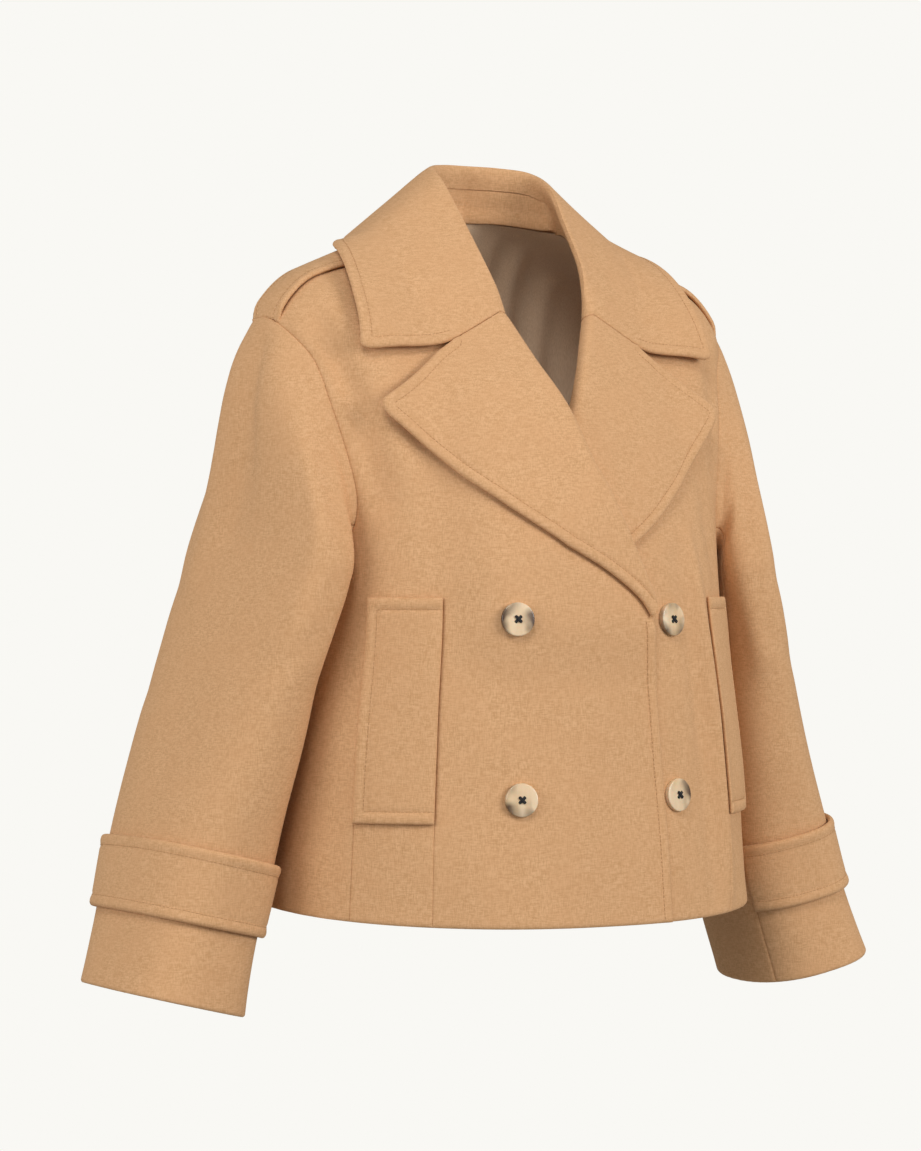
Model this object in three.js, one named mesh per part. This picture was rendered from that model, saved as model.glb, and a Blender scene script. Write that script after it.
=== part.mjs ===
// Cropped double-breasted pea coat in wool melton, filled out as worn, in millimetres.
// +Z is up, the front faces -Y and the wearer's right is -X. The origin is the middle of the
// neck at the height of the points where shoulder and neck meet.
import * as THREE from "three";

// Cloth
const melton = 2.4;
const turnedLeaf = 4.6;
const liningCloth = 1;
const seamGap = 0.3;
const layerGap = 1;

// Body
const roundness = 2.2;
const shoulderY = 18;
const shoulderFlatOut = 90;
const shoulderSlope = 0.42;
const shoulderDrop = 4;
const shoulderTurn = { from: 185, over: 44, drop: 27 };
const frontSlope = { reach: 300, power: 1.5 };
const backSlope = { reach: 230, power: 2.1 };
const slopeTip = { power: 2.4, from: 105, to: 215 };
const shoulderReach = 200;
const bodyRows = [
  { z: -620, side: 226, front: 180, back: 158 },
  { z: -510, side: 218, front: 174, back: 147 },
  { z: -420, side: 209, front: 169, back: 136 },
  { z: -330, side: 198, front: 163, back: 126 },
  { z: -260, side: 198, front: 154, back: 120 },
  { z: -220, side: 204, front: 149, back: 118 },
  { z: -160, side: 218, front: 146, back: 116 },
  { z: -120, side: 228, front: 145, back: 115 },
  { z: -80, side: 252, front: 145, back: 115 },
  { z: 30, side: 262, front: 145, back: 115 },
];
const hem = { side: -588, frontDrop: 12, backDrop: 4, blend: 60 };

// Armhole
const armholeShare = 0.896;
const underarmZ = -288;
const armholeTurn = 66;

// Neck seam and the fronts' edges: how far out from the centre the cloth ends at each height.
// Below the fold the edge laps past the centre, so out is negative.
const edgeRows = [
  { z: -604, left: -64, right: -65 },
  { z: -480, left: -63, right: -60 },
  { z: -345, left: -61, right: -49 },
  { z: -326, left: -58, right: -44.5 },
  { z: -302, left: -51, right: -36 },
  { z: -273, left: -43, right: -24 },
  { z: -245, left: -33, right: -12 },
  { z: -209, left: -20, right: 1 },
  { z: -166, left: -4, right: 13 },
  { z: -131, left: 13.5, right: 26 },
  { z: -81, left: 41, right: 41 },
  { z: -58, left: 56, right: 56 },
  { z: -34, left: 64, right: 64 },
  { z: -10, left: 70, right: 70 },
  { z: 3, left: 72, right: 72 },
];
const neckOut = 72;
const backNeckZ = 14;
const highestShoulder = 25;

// How far the right front stands off to lie over the left front and its lapel
const lapRows = [
  { z: -620, lift: 4 },
  { z: -400, lift: 4 },
  { z: -340, lift: 12.4 },
  { z: -200, lift: 12.4 },
  { z: -150, lift: 9 },
  { z: -95, lift: 0 },
  { z: 30, lift: 0 },
];
const lapFade = { from: -140, to: -82 };

// Lapels: outer edge from the break of the fold up to the peak
const lapelEdge = [
  { at: 0, out: -43, z: -341 },
  { at: 0.08, out: -31, z: -325 },
  { at: 0.22, out: -2, z: -303 },
  { at: 0.4, out: 40, z: -278 },
  { at: 0.6, out: 83, z: -247 },
  { at: 0.8, out: 125, z: -208 },
  { at: 1, out: 168, z: -163 },
];
const lapelFoldFrom = -334;
const gorge = { out: 41, z: -81 };
const notch = { out: 90, z: -107 };
const peak = lapelEdge[lapelEdge.length - 1];
const notchShare = 0.36;
const lapelLift = { fold: 1.6, peak: 9 };
const foldInset = 1.5;
const gorgeGap = 3 * seamGap;

// Collar, from the gorge round to the centre back: fold, outer edge and neck seam
const collarRows = [
  { at: 0, foldOut: 41, foldY: -84, foldZ: -81, edgeOut: 174, edgeY: -62, edgeZ: -124 },
  { at: 1, foldOut: 45, foldY: -76, foldZ: -60, edgeOut: 172, edgeY: -50, edgeZ: -102 },
  { at: 2, foldOut: 50.5, foldY: -56, foldZ: -32, edgeOut: 169, edgeY: -30, edgeZ: -67 },
  { at: 3, foldOut: 53.7, foldY: -23, foldZ: 8, edgeOut: 161, edgeY: -3, edgeZ: -38 },
  { at: 4, foldOut: 55.5, foldY: 5, foldZ: 40, edgeOut: 148, edgeY: 30, edgeZ: -21 },
  { at: 5, foldOut: 50, foldY: 32, foldZ: 55, edgeOut: 120, edgeY: 76, edgeZ: -14 },
  { at: 6, foldOut: 28, foldY: 49, foldZ: 60, edgeOut: 70, edgeY: 110, edgeZ: -19 },
  { at: 7, foldOut: 0, foldY: 55, foldZ: 61, edgeOut: 0, edgeY: 122, edgeZ: -24 },
];
const neckRows = [
  { at: 0, out: 43, z: -79 },
  { at: 1, out: 56, z: -58 },
  { at: 2, out: 64, z: -34 },
  { at: 3, out: 70, z: -10 },
  { at: 4, out: 72, z: 3 },
  { at: 5, out: 58, z: 8 },
  { at: 6, out: 31, z: 12.6 },
  { at: 7, out: 0, z: 14 },
];
const shoulderAt = 4;
const backAt = 7;
const collarFold = 5;
const collarBulge = 2;
const collarInside = 18;
const collarClear = 13;
const collarFrom = 0.26;
const standFrom = 0.9;
const standFoot = 0.14;
const standHalf = 1.4;
const standGap = 6 * seamGap;
const armSetOff = 4.2;
const sleeveSeamAngle = 0.5;

// Sleeves: rings square to the arm, from the hem up to the underarm
const armRows = [
  { z: -662, out: 323, y: 12, across: 62, along: 75, yaw: 5, tilt: 13.6, rise: -0.03 },
  { z: -598, out: 305, y: 22, across: 58, along: 79, yaw: 6, tilt: 12.5, rise: -0.026 },
  { z: -538, out: 289, y: 26, across: 56, along: 85, yaw: 7, tilt: 13.4, rise: -0.016 },
  { z: -460, out: 269, y: 24, across: 48, along: 94, yaw: 8, tilt: 14, rise: 0 },
  { z: -370, out: 249, y: 14, across: 37, along: 101, yaw: 9, tilt: 12, rise: 0 },
  { z: -300, out: 233, y: 6, across: 30, along: 102, yaw: 10, tilt: 9, rise: 0 },
];
const [armHem, armTop] = [armRows[0].z, armRows[armRows.length - 1].z];
const armRoundness = 2.5;
const frontSeamAngle = 138;
const hindSeamAngle = -128;
const capPull = 0.9;
const strap = { top: -538, bottom: -598, off: 1.4, thick: 4.6 };

// Shoulder straps
const epaulette = { front: -8, back: 36, outer: 220, inner: 132, off: 1.2, thick: 3.6 };

// Pockets: share of the side where each edge lies, and heights
const pocket = { outer: 0.887, front: 0.66, top: -323, bottom: -512, thick: 4.4 };

// Buttons
const button = { radius: 14.2, thick: 5, dish: 1.3, off: 0.6, out: 78, topZ: -342, step: 150 };

// Materials
const wool = { color: 0xc6a277, roughness: 0.95, metalness: 0 };
const satin = { color: 0x9c8470, roughness: 0.45, metalness: 0 };
const horn = { color: 0xcdb594, roughness: 0.35, metalness: 0 };

const radians = Math.PI / 180;
const mix = (a, b, t) => a + (b - a) * t;
const clamp = (t) => Math.min(1, Math.max(0, t));
const ease = (t) => clamp(t) * clamp(t) * (3 - 2 * clamp(t));
const signedPower = (t, power) => Math.sign(t) * Math.abs(t) ** power;

// Smooth reading of a table between its rows: a cubic with each row's own slope.
function readRow(rows, key, at) {
  const value = Math.min(rows[rows.length - 1][key], Math.max(rows[0][key], at));
  let i = 0;
  while (i < rows.length - 2 && rows[i + 1][key] < value) i += 1;
  const span = rows[i + 1][key] - rows[i][key];
  const t = (value - rows[i][key]) / span;
  const slope = (j, name) => {
    const low = rows[Math.max(0, j - 1)];
    const high = rows[Math.min(rows.length - 1, j + 1)];
    return (high[name] - low[name]) / (high[key] - low[key]);
  };
  const result = {};
  for (const name of Object.keys(rows[i])) {
    const [a, b] = [rows[i][name], rows[i + 1][name]];
    const [m, n] = [slope(i, name) * span, slope(i + 1, name) * span];
    result[name] = a + t * m + t * t * (3 * (b - a) - 2 * m - n) + t ** 3 * (2 * (a - b) + m + n);
  }
  return result;
}

const sideAt = (z) => readRow(bodyRows, "z", z).side;

function shoulderZ(x) {
  const out = Math.abs(x);
  const turn = Math.max(0, out - shoulderTurn.from) / shoulderTurn.over;
  return shoulderSlope * (shoulderFlatOut - out) - shoulderDrop - shoulderTurn.drop * turn * turn;
}

// The slope of chest or back up to the shoulder line
const rounded = (t, power) => (1 - (1 - clamp(t)) ** power) ** (1 / power);

// The body's inner face at an angle round it (0 centre front, 180 centre back) and a height
function bodyAt(angle, z) {
  const row = readRow(bodyRows, "z", z);
  const x = row.side * signedPower(Math.sin(angle), 2 / roundness);
  const turned = signedPower(Math.cos(angle), 2 / roundness);
  const down = shoulderZ(x) - z;
  const isFront = turned >= 0;
  const slope = isFront ? frontSlope : backSlope;
  const tip = ease((Math.abs(x) - slopeTip.from) / (slopeTip.to - slopeTip.from));
  const power = mix(slope.power, slopeTip.power, tip);
  const depth = (isFront ? row.front : row.back) * rounded(down / slope.reach, power);
  return new THREE.Vector3(x, shoulderY * (1 - ease(down / shoulderReach)) - turned * depth, z);
}

function bodyNormal(angle, z) {
  const step = 0.4;
  const here = bodyAt(angle, z);
  if (shoulderZ(here.x) - z < 2 * step) {
    const slope = (shoulderZ(here.x - step) - shoulderZ(here.x + step)) / (2 * step);
    return new THREE.Vector3(slope, 0, 1).normalize();
  }
  const along = bodyAt(angle + 0.01, z).sub(bodyAt(angle - 0.01, z));
  const up = bodyAt(angle, z + step).sub(bodyAt(angle, z - step));
  return along.cross(up).normalize();
}

const bodyPoint = (angle, z, off) => bodyAt(angle, z).addScaledVector(bodyNormal(angle, z), off);

const shareAngle = (share) => Math.asin(signedPower(Math.max(-1, Math.min(1, share)), roundness / 2));
const angleAt = (x, z) => shareAngle(x / sideAt(z));

// Share of the side that the armhole seam keeps to at a height
function armholeShareAt(z) {
  const up = clamp((z - underarmZ) / armholeTurn);
  return armholeShare + (1 - armholeShare) * (1 - Math.sqrt(1 - (1 - up) ** 2));
}

// The height that agrees with its own side, closed in on a step at a time
const settling = { rounds: 30, step: 0.7 };
function settle(start, heightAt) {
  let z = start;
  for (let i = 0; i < settling.rounds; i += 1) z = mix(z, heightAt(z), settling.step);
  return z;
}

// Height at which a column of the body reaches the shoulder line
const shoulderTop = (share) => settle(-40, (z) => shoulderZ(sideAt(z) * share));

const shoulderTipZ = shoulderTop(armholeShare);

function meshOf(name, positions, faces, material) {
  const geometry = new THREE.BufferGeometry();
  const [a, b, c] = [new THREE.Vector3(), new THREE.Vector3(), new THREE.Vector3()];
  let volume = 0;
  for (const [i, j, k] of faces) {
    volume += a.copy(positions[i]).dot(b.copy(positions[j]).cross(c.copy(positions[k])));
  }
  const index = faces.flatMap(([i, j, k]) => (volume > 0 ? [i, j, k] : [i, k, j]));
  geometry.setAttribute("position", new THREE.Float32BufferAttribute(
    positions.flatMap((p) => [p.x, p.y, p.z]), 3));
  geometry.setIndex(index);
  const mesh = new THREE.Mesh(geometry, new THREE.MeshStandardMaterial(material));
  mesh.name = name;
  return mesh;
}

// A closed wall of cloth between two grids of points, over the cells that keep() allows
function wall(name, outer, inner, material, keep = () => true) {
  const rows = outer.length;
  const columns = outer[0].length;
  const isKept = (r, c) => r >= 0 && c >= 0 && r < rows - 1 && c < columns - 1 && keep(r, c);
  const positions = [];
  const places = new Map();
  const vertex = (layer, r, c) => {
    const key = `${layer} ${r} ${c}`;
    if (!places.has(key)) {
      places.set(key, positions.length);
      positions.push(layer === 0 ? outer[r][c] : inner[r][c]);
    }
    return places.get(key);
  };
  const faces = [];
  const quad = (i, j, k, l) => faces.push([i, j, k], [i, k, l]);
  const side = (r1, c1, r2, c2) => quad(
    vertex(0, r1, c1), vertex(1, r1, c1), vertex(1, r2, c2), vertex(0, r2, c2));
  for (let r = 0; r < rows - 1; r += 1) {
    for (let c = 0; c < columns - 1; c += 1) {
      if (!isKept(r, c)) continue;
      quad(vertex(0, r, c), vertex(0, r, c + 1), vertex(0, r + 1, c + 1), vertex(0, r + 1, c));
      quad(vertex(1, r, c), vertex(1, r + 1, c), vertex(1, r + 1, c + 1), vertex(1, r, c + 1));
      if (!isKept(r - 1, c)) side(r, c, r, c + 1);
      if (!isKept(r + 1, c)) side(r + 1, c + 1, r + 1, c);
      if (!isKept(r, c - 1)) side(r + 1, c, r, c);
      if (!isKept(r, c + 1)) side(r, c + 1, r + 1, c + 1);
    }
  }
  return meshOf(name, positions, faces, material);
}

const gridOf = (rows, columns, point) => rows.map((row) => columns.map((column) => point(row, column)));
const steps = (count) => Array.from({ length: count + 1 }, (_, i) => i / count);

// Height rows of a body panel: below the underarm by height, above it by share of the way up
const upperShares = [0.14, 0.28, 0.42, 0.55, 0.67, 0.78, 0.87, 0.94, 0.985, 1];
const lowerHeights = [-556, -515, -474, -433, -392, -357, pocket.top - seamGap / 2,
  pocket.top + seamGap / 2, underarmZ];
const panelRows = [{ low: hem.side, share: 0 }, ...lowerHeights.map((z) => ({ low: z, share: 0 })),
  ...upperShares.map((share) => ({ low: underarmZ, share }))];
const pocketTopRow = 7;
const liningFromRow = 5;

function hemZ(angle) {
  const turned = Math.cos(angle);
  return hem.side - (turned > 0 ? hem.frontDrop : -hem.backDrop) * turned;
}

// Height of a row below the underarm: the lowest rows follow the hem's curve
const lowerZ = (low, angle) => mix(hemZ(angle), low, ease((low - hem.side) / hem.blend));

// How far the right front is lifted over the left one
function lapLift(side, x, z) {
  if (side > 0) return 0;
  const fade = ease((x - lapFade.from) / (lapFade.to - lapFade.from));
  return Math.max(0, readRow(lapRows, "z", z).lift) * fade;
}

// Columns of a front: anchors are side, pocket's outer edge, pocket's front edge, front edge
const frontColumns = [
  ...[0, 0.3, 0.6].map((part) => ({ from: 0, part, nudge: 0 })),
  { from: 1, part: 0, nudge: 1 }, { from: 1, part: 0, nudge: -1 },
  ...[0.34, 0.67].map((part) => ({ from: 1, part, nudge: 0 })),
  { from: 2, part: 0, nudge: 1 }, { from: 2, part: 0, nudge: -1 },
  ...[0.11, 0.22, 0.34, 0.46, 0.58, 0.7, 0.82, 0.92, 1].map((part) => ({ from: 2, part, nudge: 0 })),
];
const pocketColumns = { outerGap: 3, first: 4, frontGap: 7 };

const handOf = (side) => (side < 0 ? "right" : "left");
const neckPointZ = edgeRows[edgeRows.length - 1].z;
const upperColumns = { outer: 0.2, front: 0.42, blend: armholeTurn + 30 };

// Angle of the side seam, or of the armhole above it, where the side's own height is z
const sideGapAngle = (seamGap / 2 / 150) ** (roundness / 2);
const sideAngle = (z) => (z > underarmZ ? shareAngle(armholeShareAt(z)) : Math.PI / 2 - sideGapAngle);

function frontAnchors(share, low, hand) {
  const edgeZ = mix(low, neckPointZ, share);
  const sideZ = mix(low, shoulderTipZ, share);
  const side = sideAngle(sideZ);
  const front = angleAt(readRow(edgeRows, "z", edgeZ)[hand], edgeZ);
  const blend = ease((sideZ - pocket.top) / upperColumns.blend);
  return [side, mix(shareAngle(pocket.outer), mix(side, front, upperColumns.outer), blend),
    mix(shareAngle(pocket.front), mix(side, front, upperColumns.front), blend), front];
}

const pocketSeamAngle = seamGap / 2 / 170;

function frontPlace(row, column, hand) {
  const anchors = frontAnchors(row.share, row.low, hand);
  const next = anchors[Math.min(3, column.from + 1)];
  const angle = mix(anchors[column.from], next, column.part) + column.nudge * pocketSeamAngle;
  if (row.share === 0) return { angle, z: lowerZ(row.low, angle) };
  const isEdge = column.from + column.part === 3;
  const shoulder = shoulderTop(signedPower(Math.sin(angle), 2 / roundness));
  const top = isEdge ? neckPointZ : Math.min(highestShoulder, shoulder);
  return { angle, z: mix(underarmZ, top, row.share) };
}

function frontPanel(side) {
  const place = (row, column, out) => {
    const { angle, z } = frontPlace(row, column, handOf(side));
    const lift = lapLift(side, side * bodyAt(angle, z).x, z);
    const point = bodyPoint(angle, z, out + lift);
    if (row.share === 1) point.y -= seamGap;
    point.x *= side;
    return point;
  };
  return {
    outer: gridOf(panelRows, frontColumns, (row, column) => place(row, column, melton)),
    inner: gridOf(panelRows, frontColumns, (row, column) => place(row, column, 0)),
  };
}

function isPocketCell(r, c) {
  return r < pocketTopRow && c >= pocketColumns.first && c < pocketColumns.frontGap;
}

function isFrontCell(r, c) {
  return r > pocketTopRow || c < pocketColumns.outerGap || c > pocketColumns.frontGap;
}

function fronts(side, word) {
  const { outer, inner } = frontPanel(side);
  return [
    wall(`front_${word}`, outer, inner, wool, isFrontCell),
    wall(`pocket_panel_${word}`, outer, inner, wool, isPocketCell),
  ];
}

// Back: columns go from the right side seam to the left one
const backColumns = steps(16).map((t) => mix(-1, 1, t));

function neckTopAt(x) {
  const out = Math.abs(x);
  if (out >= neckOut) return shoulderZ(x);
  return mix(backNeckZ, shoulderZ(neckOut), (out / neckOut) ** 2);
}

const backTop = (share) => settle(0, (z) => neckTopAt(sideAt(z) * share));

function backPoint(row, column, off) {
  const round = sideAngle(mix(row.low, shoulderTipZ, row.share)) * column;
  const share = signedPower(Math.sin(round), 2 / roundness);
  const angle = Math.PI - round;
  const z = row.share === 0 ? lowerZ(row.low, angle) : mix(underarmZ, backTop(share), row.share);
  const point = bodyPoint(angle, z, off);
  if (row.share === 1) point.y += seamGap;
  return point;
}

const gridBack = (off) => gridOf(panelRows, backColumns, (row, column) => backPoint(row, column, off));

// Lapel leaf: across from the fold to the outer edge, along from the break up to the peak
const lapelAlong = [0, 0.06, 0.14, 0.24, 0.36, 0.48, 0.6, 0.72, 0.84, 0.93, 1];
const lapelAcross = [0, 0.12, 0.24, notchShare, 0.5, 0.64, 0.78, 0.9, 1];

function lapelPoint(side, along, across, off) {
  const edge = readRow(lapelEdge, "at", along);
  const foldZ = mix(lapelFoldFrom, gorge.z - gorgeGap, along);
  const foldOut = readRow(edgeRows, "z", foldZ)[handOf(side)] - foldInset * (1 - along);
  const bentAcross = across < notchShare ? across / notchShare : (1 - across) / (1 - notchShare);
  const straightOut = mix(foldOut, edge.out, across);
  const straightZ = mix(foldZ, edge.z, across);
  const bend = bentAcross * along ** 6;
  const atNotch = { out: mix(gorge.out, peak.out, notchShare), z: mix(gorge.z, peak.z, notchShare) };
  const out = straightOut + bend * (notch.out - atNotch.out);
  const z = straightZ + bend * (notch.z - gorgeGap - atNotch.z);
  const lift = lapelLift.fold * (1 - across) ** 2 + lapelLift.peak * across ** 3 * along ** 3;
  const layer = lapLift(side, side * out, z) + melton + layerGap + lift;
  const point = bodyPoint(angleAt(out, z), z, layer + off);
  point.x *= side;
  return point;
}

function lapel(side, word) {
  const place = (off) => (along, across) => lapelPoint(side, along, across, off);
  const grid = (off) => gridOf(lapelAlong, lapelAcross, place(off));
  return wall(`lapel_facing_${word}`, grid(turnedLeaf), grid(0), wool);
}

// Top of the body at a place in plan, for what lies on the shoulders
const lowestLaid = -280;
const tipAllowance = 60;
function bodyTopZ(x, y) {
  const isFront = y < shoulderY;
  let [low, high] = [lowestLaid, shoulderZ(x)];
  for (let i = 0; i < settling.rounds; i += 1) {
    const z = (low + high) / 2;
    const round = angleAt(x, z);
    const surface = bodyAt(isFront ? round : Math.PI - round, z).y;
    const beyondArmhole = Math.abs(x) > armholeShare * sideAt(z) && z < shoulderTipZ + tipAllowance;
    if (beyondArmhole || (isFront ? surface < y : surface > y)) low = z;
    else high = z;
  }
  return (low + high) / 2;
}

// Moves a point out until it clears the body by a distance
function clearOfBody(point, clear) {
  const step = 2;
  const { x, y } = point;
  const top = bodyTopZ(x, y);
  const slopeX = (bodyTopZ(x + step, y) - bodyTopZ(x - step, y)) / (2 * step);
  const slopeY = (bodyTopZ(x, y + step) - bodyTopZ(x, y - step)) / (2 * step);
  const normal = new THREE.Vector3(-slopeX, -slopeY, 1).normalize();
  const distance = (point.z - top) * normal.z;
  if (distance < clear) point.addScaledVector(normal, clear - distance);
  return point;
}

function collarStation(at) {
  const row = readRow(collarRows, "at", at);
  const { out, z } = readRow(neckRows, "at", at);
  const fold = new THREE.Vector3(row.foldOut, row.foldY, row.foldZ);
  const edge = new THREE.Vector3(row.edgeOut, row.edgeY, row.edgeZ);
  const round = angleAt(out, z);
  const neck = bodyPoint(at <= shoulderAt ? round : Math.PI - round, Math.min(z, shoulderZ(out)), melton / 2);
  return { fold, edge, neck };
}

// Length of the collar inside the fold, down to the seam with the stand
const insideLength = (standHeight) => Math.min(collarInside, Math.max(4, standHeight * 0.4));

// Where the leaf passes over the notch
const notchMiddle = (() => {
  const [out, z] = [notch.out + 8, notch.z - 0.5];
  return new THREE.Vector3(out, bodyPoint(angleAt(out, z), z, melton + layerGap + 3).y, z);
})();

// Middle of the collar's leaf at a station: from the stand seam inside, over the fold, to the edge
function collarMiddle(at, across) {
  const { fold, edge, neck } = collarStation(at);
  const outward = new THREE.Vector3(edge.x - fold.x, edge.y - fold.y, 0).normalize();
  const down = neck.clone().sub(fold).normalize();
  const settled = clamp(at / 1.5);
  const radius = collarFold * (0.55 + 0.45 * settled);
  const seam = fold.clone().addScaledVector(down, insideLength(fold.distanceTo(neck)));
  const shoulderIn = fold.clone().addScaledVector(outward, -radius * 0.3).addScaledVector(down, radius);
  const shoulderOut = fold.clone().addScaledVector(outward, radius * 1.5);
  shoulderOut.z -= radius * 0.75;
  const middle = fold.clone().lerp(edge, 0.5);
  middle.z += collarBulge * settled;
  middle.addScaledVector(outward, collarBulge * 0.4 * settled);
  middle.lerp(notchMiddle, 1 - clamp(at));
  const points = [seam, shoulderIn, fold, shoulderOut, middle, edge];
  return new THREE.CatmullRomCurve3(points, false, "centripetal").getPoint(across);
}

const collarAcross = [0, 0.1, 0.2, 0.3, 0.4, 0.5, 0.6, 0.7, 0.8, 0.9, 1];

// Beyond the fold the leaf lies clear of the shoulders
const laying = { from: 0.55, over: 0.3, clear: 5 };
function collarSurface(at, across) {
  const point = collarMiddle(at, across);
  const laid = (across - laying.from) / laying.over;
  if (laid > 0) clearOfBody(point, mix(laying.clear, collarClear, clamp(laid)));
  return point;
}

const small = 0.02;
function collarPoint(side, at, across, off) {
  const low = Math.min(backAt - small, at);
  const point = collarSurface(low, across);
  const alongStep = collarSurface(low + small, across).sub(collarSurface(low - small, across));
  const [inside, outside] = [Math.max(0, across - small), Math.min(1, across + small)];
  const acrossStep = collarSurface(low, outside).sub(collarSurface(low, inside));
  const normal = acrossStep.cross(alongStep);
  if (at >= backAt) normal.setX(0);
  point.addScaledVector(normal.normalize(), off);
  if (at >= backAt) point.x = 0;
  point.x *= side;
  return point;
}

// Stations from the right end round the neck to the left end
function stationsFrom(start, count) {
  const range = steps(count).map((t) => mix(start, backAt, t));
  return [...range.map((at) => ({ side: -1, at })),
    ...range.slice(0, -1).reverse().map((at) => ({ side: 1, at }))];
}

function collar() {
  const half = turnedLeaf / 2;
  const place = (off) => ({ side, at }, across) => collarPoint(side, at, across, off);
  const grid = (off) => gridOf(stationsFrom(collarFrom, 13), collarAcross, place(off));
  return wall("collar", grid(half), grid(-half), wool);
}

// The stand: from the neck seam up to the seam inside the collar
function standPoint(side, at, up, off) {
  const low = Math.min(backAt - small, at);
  const { fold, neck } = collarStation(low);
  const down = neck.clone().sub(fold).normalize();
  const top = fold.clone().addScaledVector(down, insideLength(fold.distanceTo(neck)) + standGap);
  const point = neck.clone().lerp(top, up);
  const normal = collarStation(low + small).fold.sub(collarStation(low - small).fold).cross(down).normalize();
  point.addScaledVector(normal, off);
  if (at >= backAt) point.x = 0;
  point.x *= side;
  return point;
}

function stand() {
  const place = (off) => ({ side, at }, up) => standPoint(side, at, up, off);
  const grid = (off) => gridOf(stationsFrom(standFrom, 12), [standFoot, 0.5, 1], place(off));
  return wall("collar_stand", grid(standHalf), grid(-standHalf), wool);
}

// Armhole seam: angle 0 at the shoulder, 90 at the front, 180 at the underarm, 270 at the back
function armholePoint(angle) {
  const turn = angle * radians;
  const z = mix(underarmZ, shoulderTipZ, (1 + Math.cos(turn)) / 2);
  const round = shareAngle(armholeShareAt(z));
  const isFront = Math.sin(turn) >= 0;
  const around = isFront ? round : Math.PI - round;
  const point = bodyPoint(around, z, melton);
  if (Math.abs(Math.sin(turn)) < 0.001 && Math.cos(turn) > 0) {
    point.copy(bodyPoint(round, z, melton));
    point.y = shoulderY;
  }
  point.x += mix(armSetOff, seamGap, (1 + Math.cos(turn)) / 2);
  return point;
}

// Ring of the sleeve at a height of its centre line
function armRing(z, angle) {
  const row = readRow(armRows, "z", z);
  const [turn, yaw, tilt] = [angle * radians, row.yaw * radians, row.tilt * radians];
  const level = Math.cos(tilt);
  const outward = new THREE.Vector3(level * Math.cos(yaw), -level * Math.sin(yaw), Math.sin(tilt));
  const forward = new THREE.Vector3(-Math.sin(yaw), -Math.cos(yaw), row.rise).normalize();
  const point = new THREE.Vector3(row.out, row.y, z);
  point.addScaledVector(outward, row.across * signedPower(Math.cos(turn), 2 / armRoundness));
  return point.addScaledVector(forward, row.along * signedPower(Math.sin(turn), 2 / armRoundness));
}

// Outer face of the sleeve at an angle round it and a share of the way down: above 0 the cap,
// from 1 on the arm, where down - 1 is the share of the way from the underarm to the hem
function sleeveAt(angle, down) {
  if (down >= 1) return armRing(mix(armTop, armHem, down - 1), angle);
  const from = armholePoint(angle);
  const to = armRing(armTop, angle);
  const reach = from.distanceTo(to) * capPull;
  const outShare = (1 + Math.cos(angle * radians)) / 2;
  const leave = new THREE.Vector3(mix(0.9, 0.55, outShare), 0, -mix(0.6, 0.84, outShare)).normalize();
  const arrive = armRing(armTop - 12, angle).sub(to).normalize();
  const [t, u] = [down, 1 - down];
  return from.multiplyScalar(u * u * (1 + 2 * t))
    .addScaledVector(leave, t * u * u * reach)
    .addScaledVector(to, t * t * (1 + 2 * u))
    .addScaledVector(arrive, -t * t * u * reach);
}

function sleevePoint(side, angle, down, off) {
  const [turn, step] = [1.5, 0.01];
  const point = sleeveAt(angle, down);
  const along = sleeveAt(angle + turn, down).sub(sleeveAt(angle - turn, down));
  const low = Math.max(0.002, down - step);
  const across = sleeveAt(angle, Math.min(2, down + step)).sub(sleeveAt(angle, low));
  const normal = along.cross(across).normalize();
  point.addScaledVector(normal, off);
  point.x *= side;
  return point;
}

const armShare = (z) => 1 + (z - armTop) / (armHem - armTop);
const sleeveRows = [0.006, 0.12, 0.28, 0.46, 0.64, 0.82, 1, 1.18, 1.36, 1.52,
  armShare(strap.top), armShare(strap.bottom), 2];

function sleevePiece(name, side, from, to, count) {
  const seam = sleeveSeamAngle;
  const angles = steps(count).map((t) => mix(from + seam, to - seam, t));
  const place = (off) => (down, angle) => sleevePoint(side, angle, down, off);
  return wall(name, gridOf(sleeveRows, angles, place(0)), gridOf(sleeveRows, angles, place(-melton)), wool);
}

function cuffStrap(side, word) {
  const angles = steps(18).map((t) => mix(hindSeamAngle + 1, frontSeamAngle - 1, t));
  const rows = [strap.top, strap.bottom].map(armShare);
  const place = (off) => (down, angle) => sleevePoint(side, angle, down, off);
  const grid = (off) => gridOf(rows, angles, place(off));
  return wall(`cuff_strap_${word}`, grid(strap.off + strap.thick), grid(strap.off), wool);
}

function sleeve(side, word) {
  return [
    sleevePiece(`top_sleeve_${word}`, side, hindSeamAngle, frontSeamAngle, 20),
    sleevePiece(`under_sleeve_${word}`, side, frontSeamAngle, 360 + hindSeamAngle, 8),
    cuffStrap(side, word),
  ];
}

// Shoulder strap, laid on the shoulder from the armhole seam in under the collar
function shoulderStrap(side, word) {
  const outs = steps(10).map((t) => mix(epaulette.outer, epaulette.inner, t));
  const depths = steps(6).map((t) => mix(epaulette.front, epaulette.back, t));
  const place = (x, y, off) => {
    const point = clearOfBody(new THREE.Vector3(x, y, bodyTopZ(x, y) - 1), melton + epaulette.off + off);
    point.x *= side;
    return point;
  };
  const grid = (off) => gridOf(outs, depths, (x, y) => place(x, y, off));
  return wall(`epaulette_${word}`, grid(epaulette.thick), grid(0), wool);
}

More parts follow.
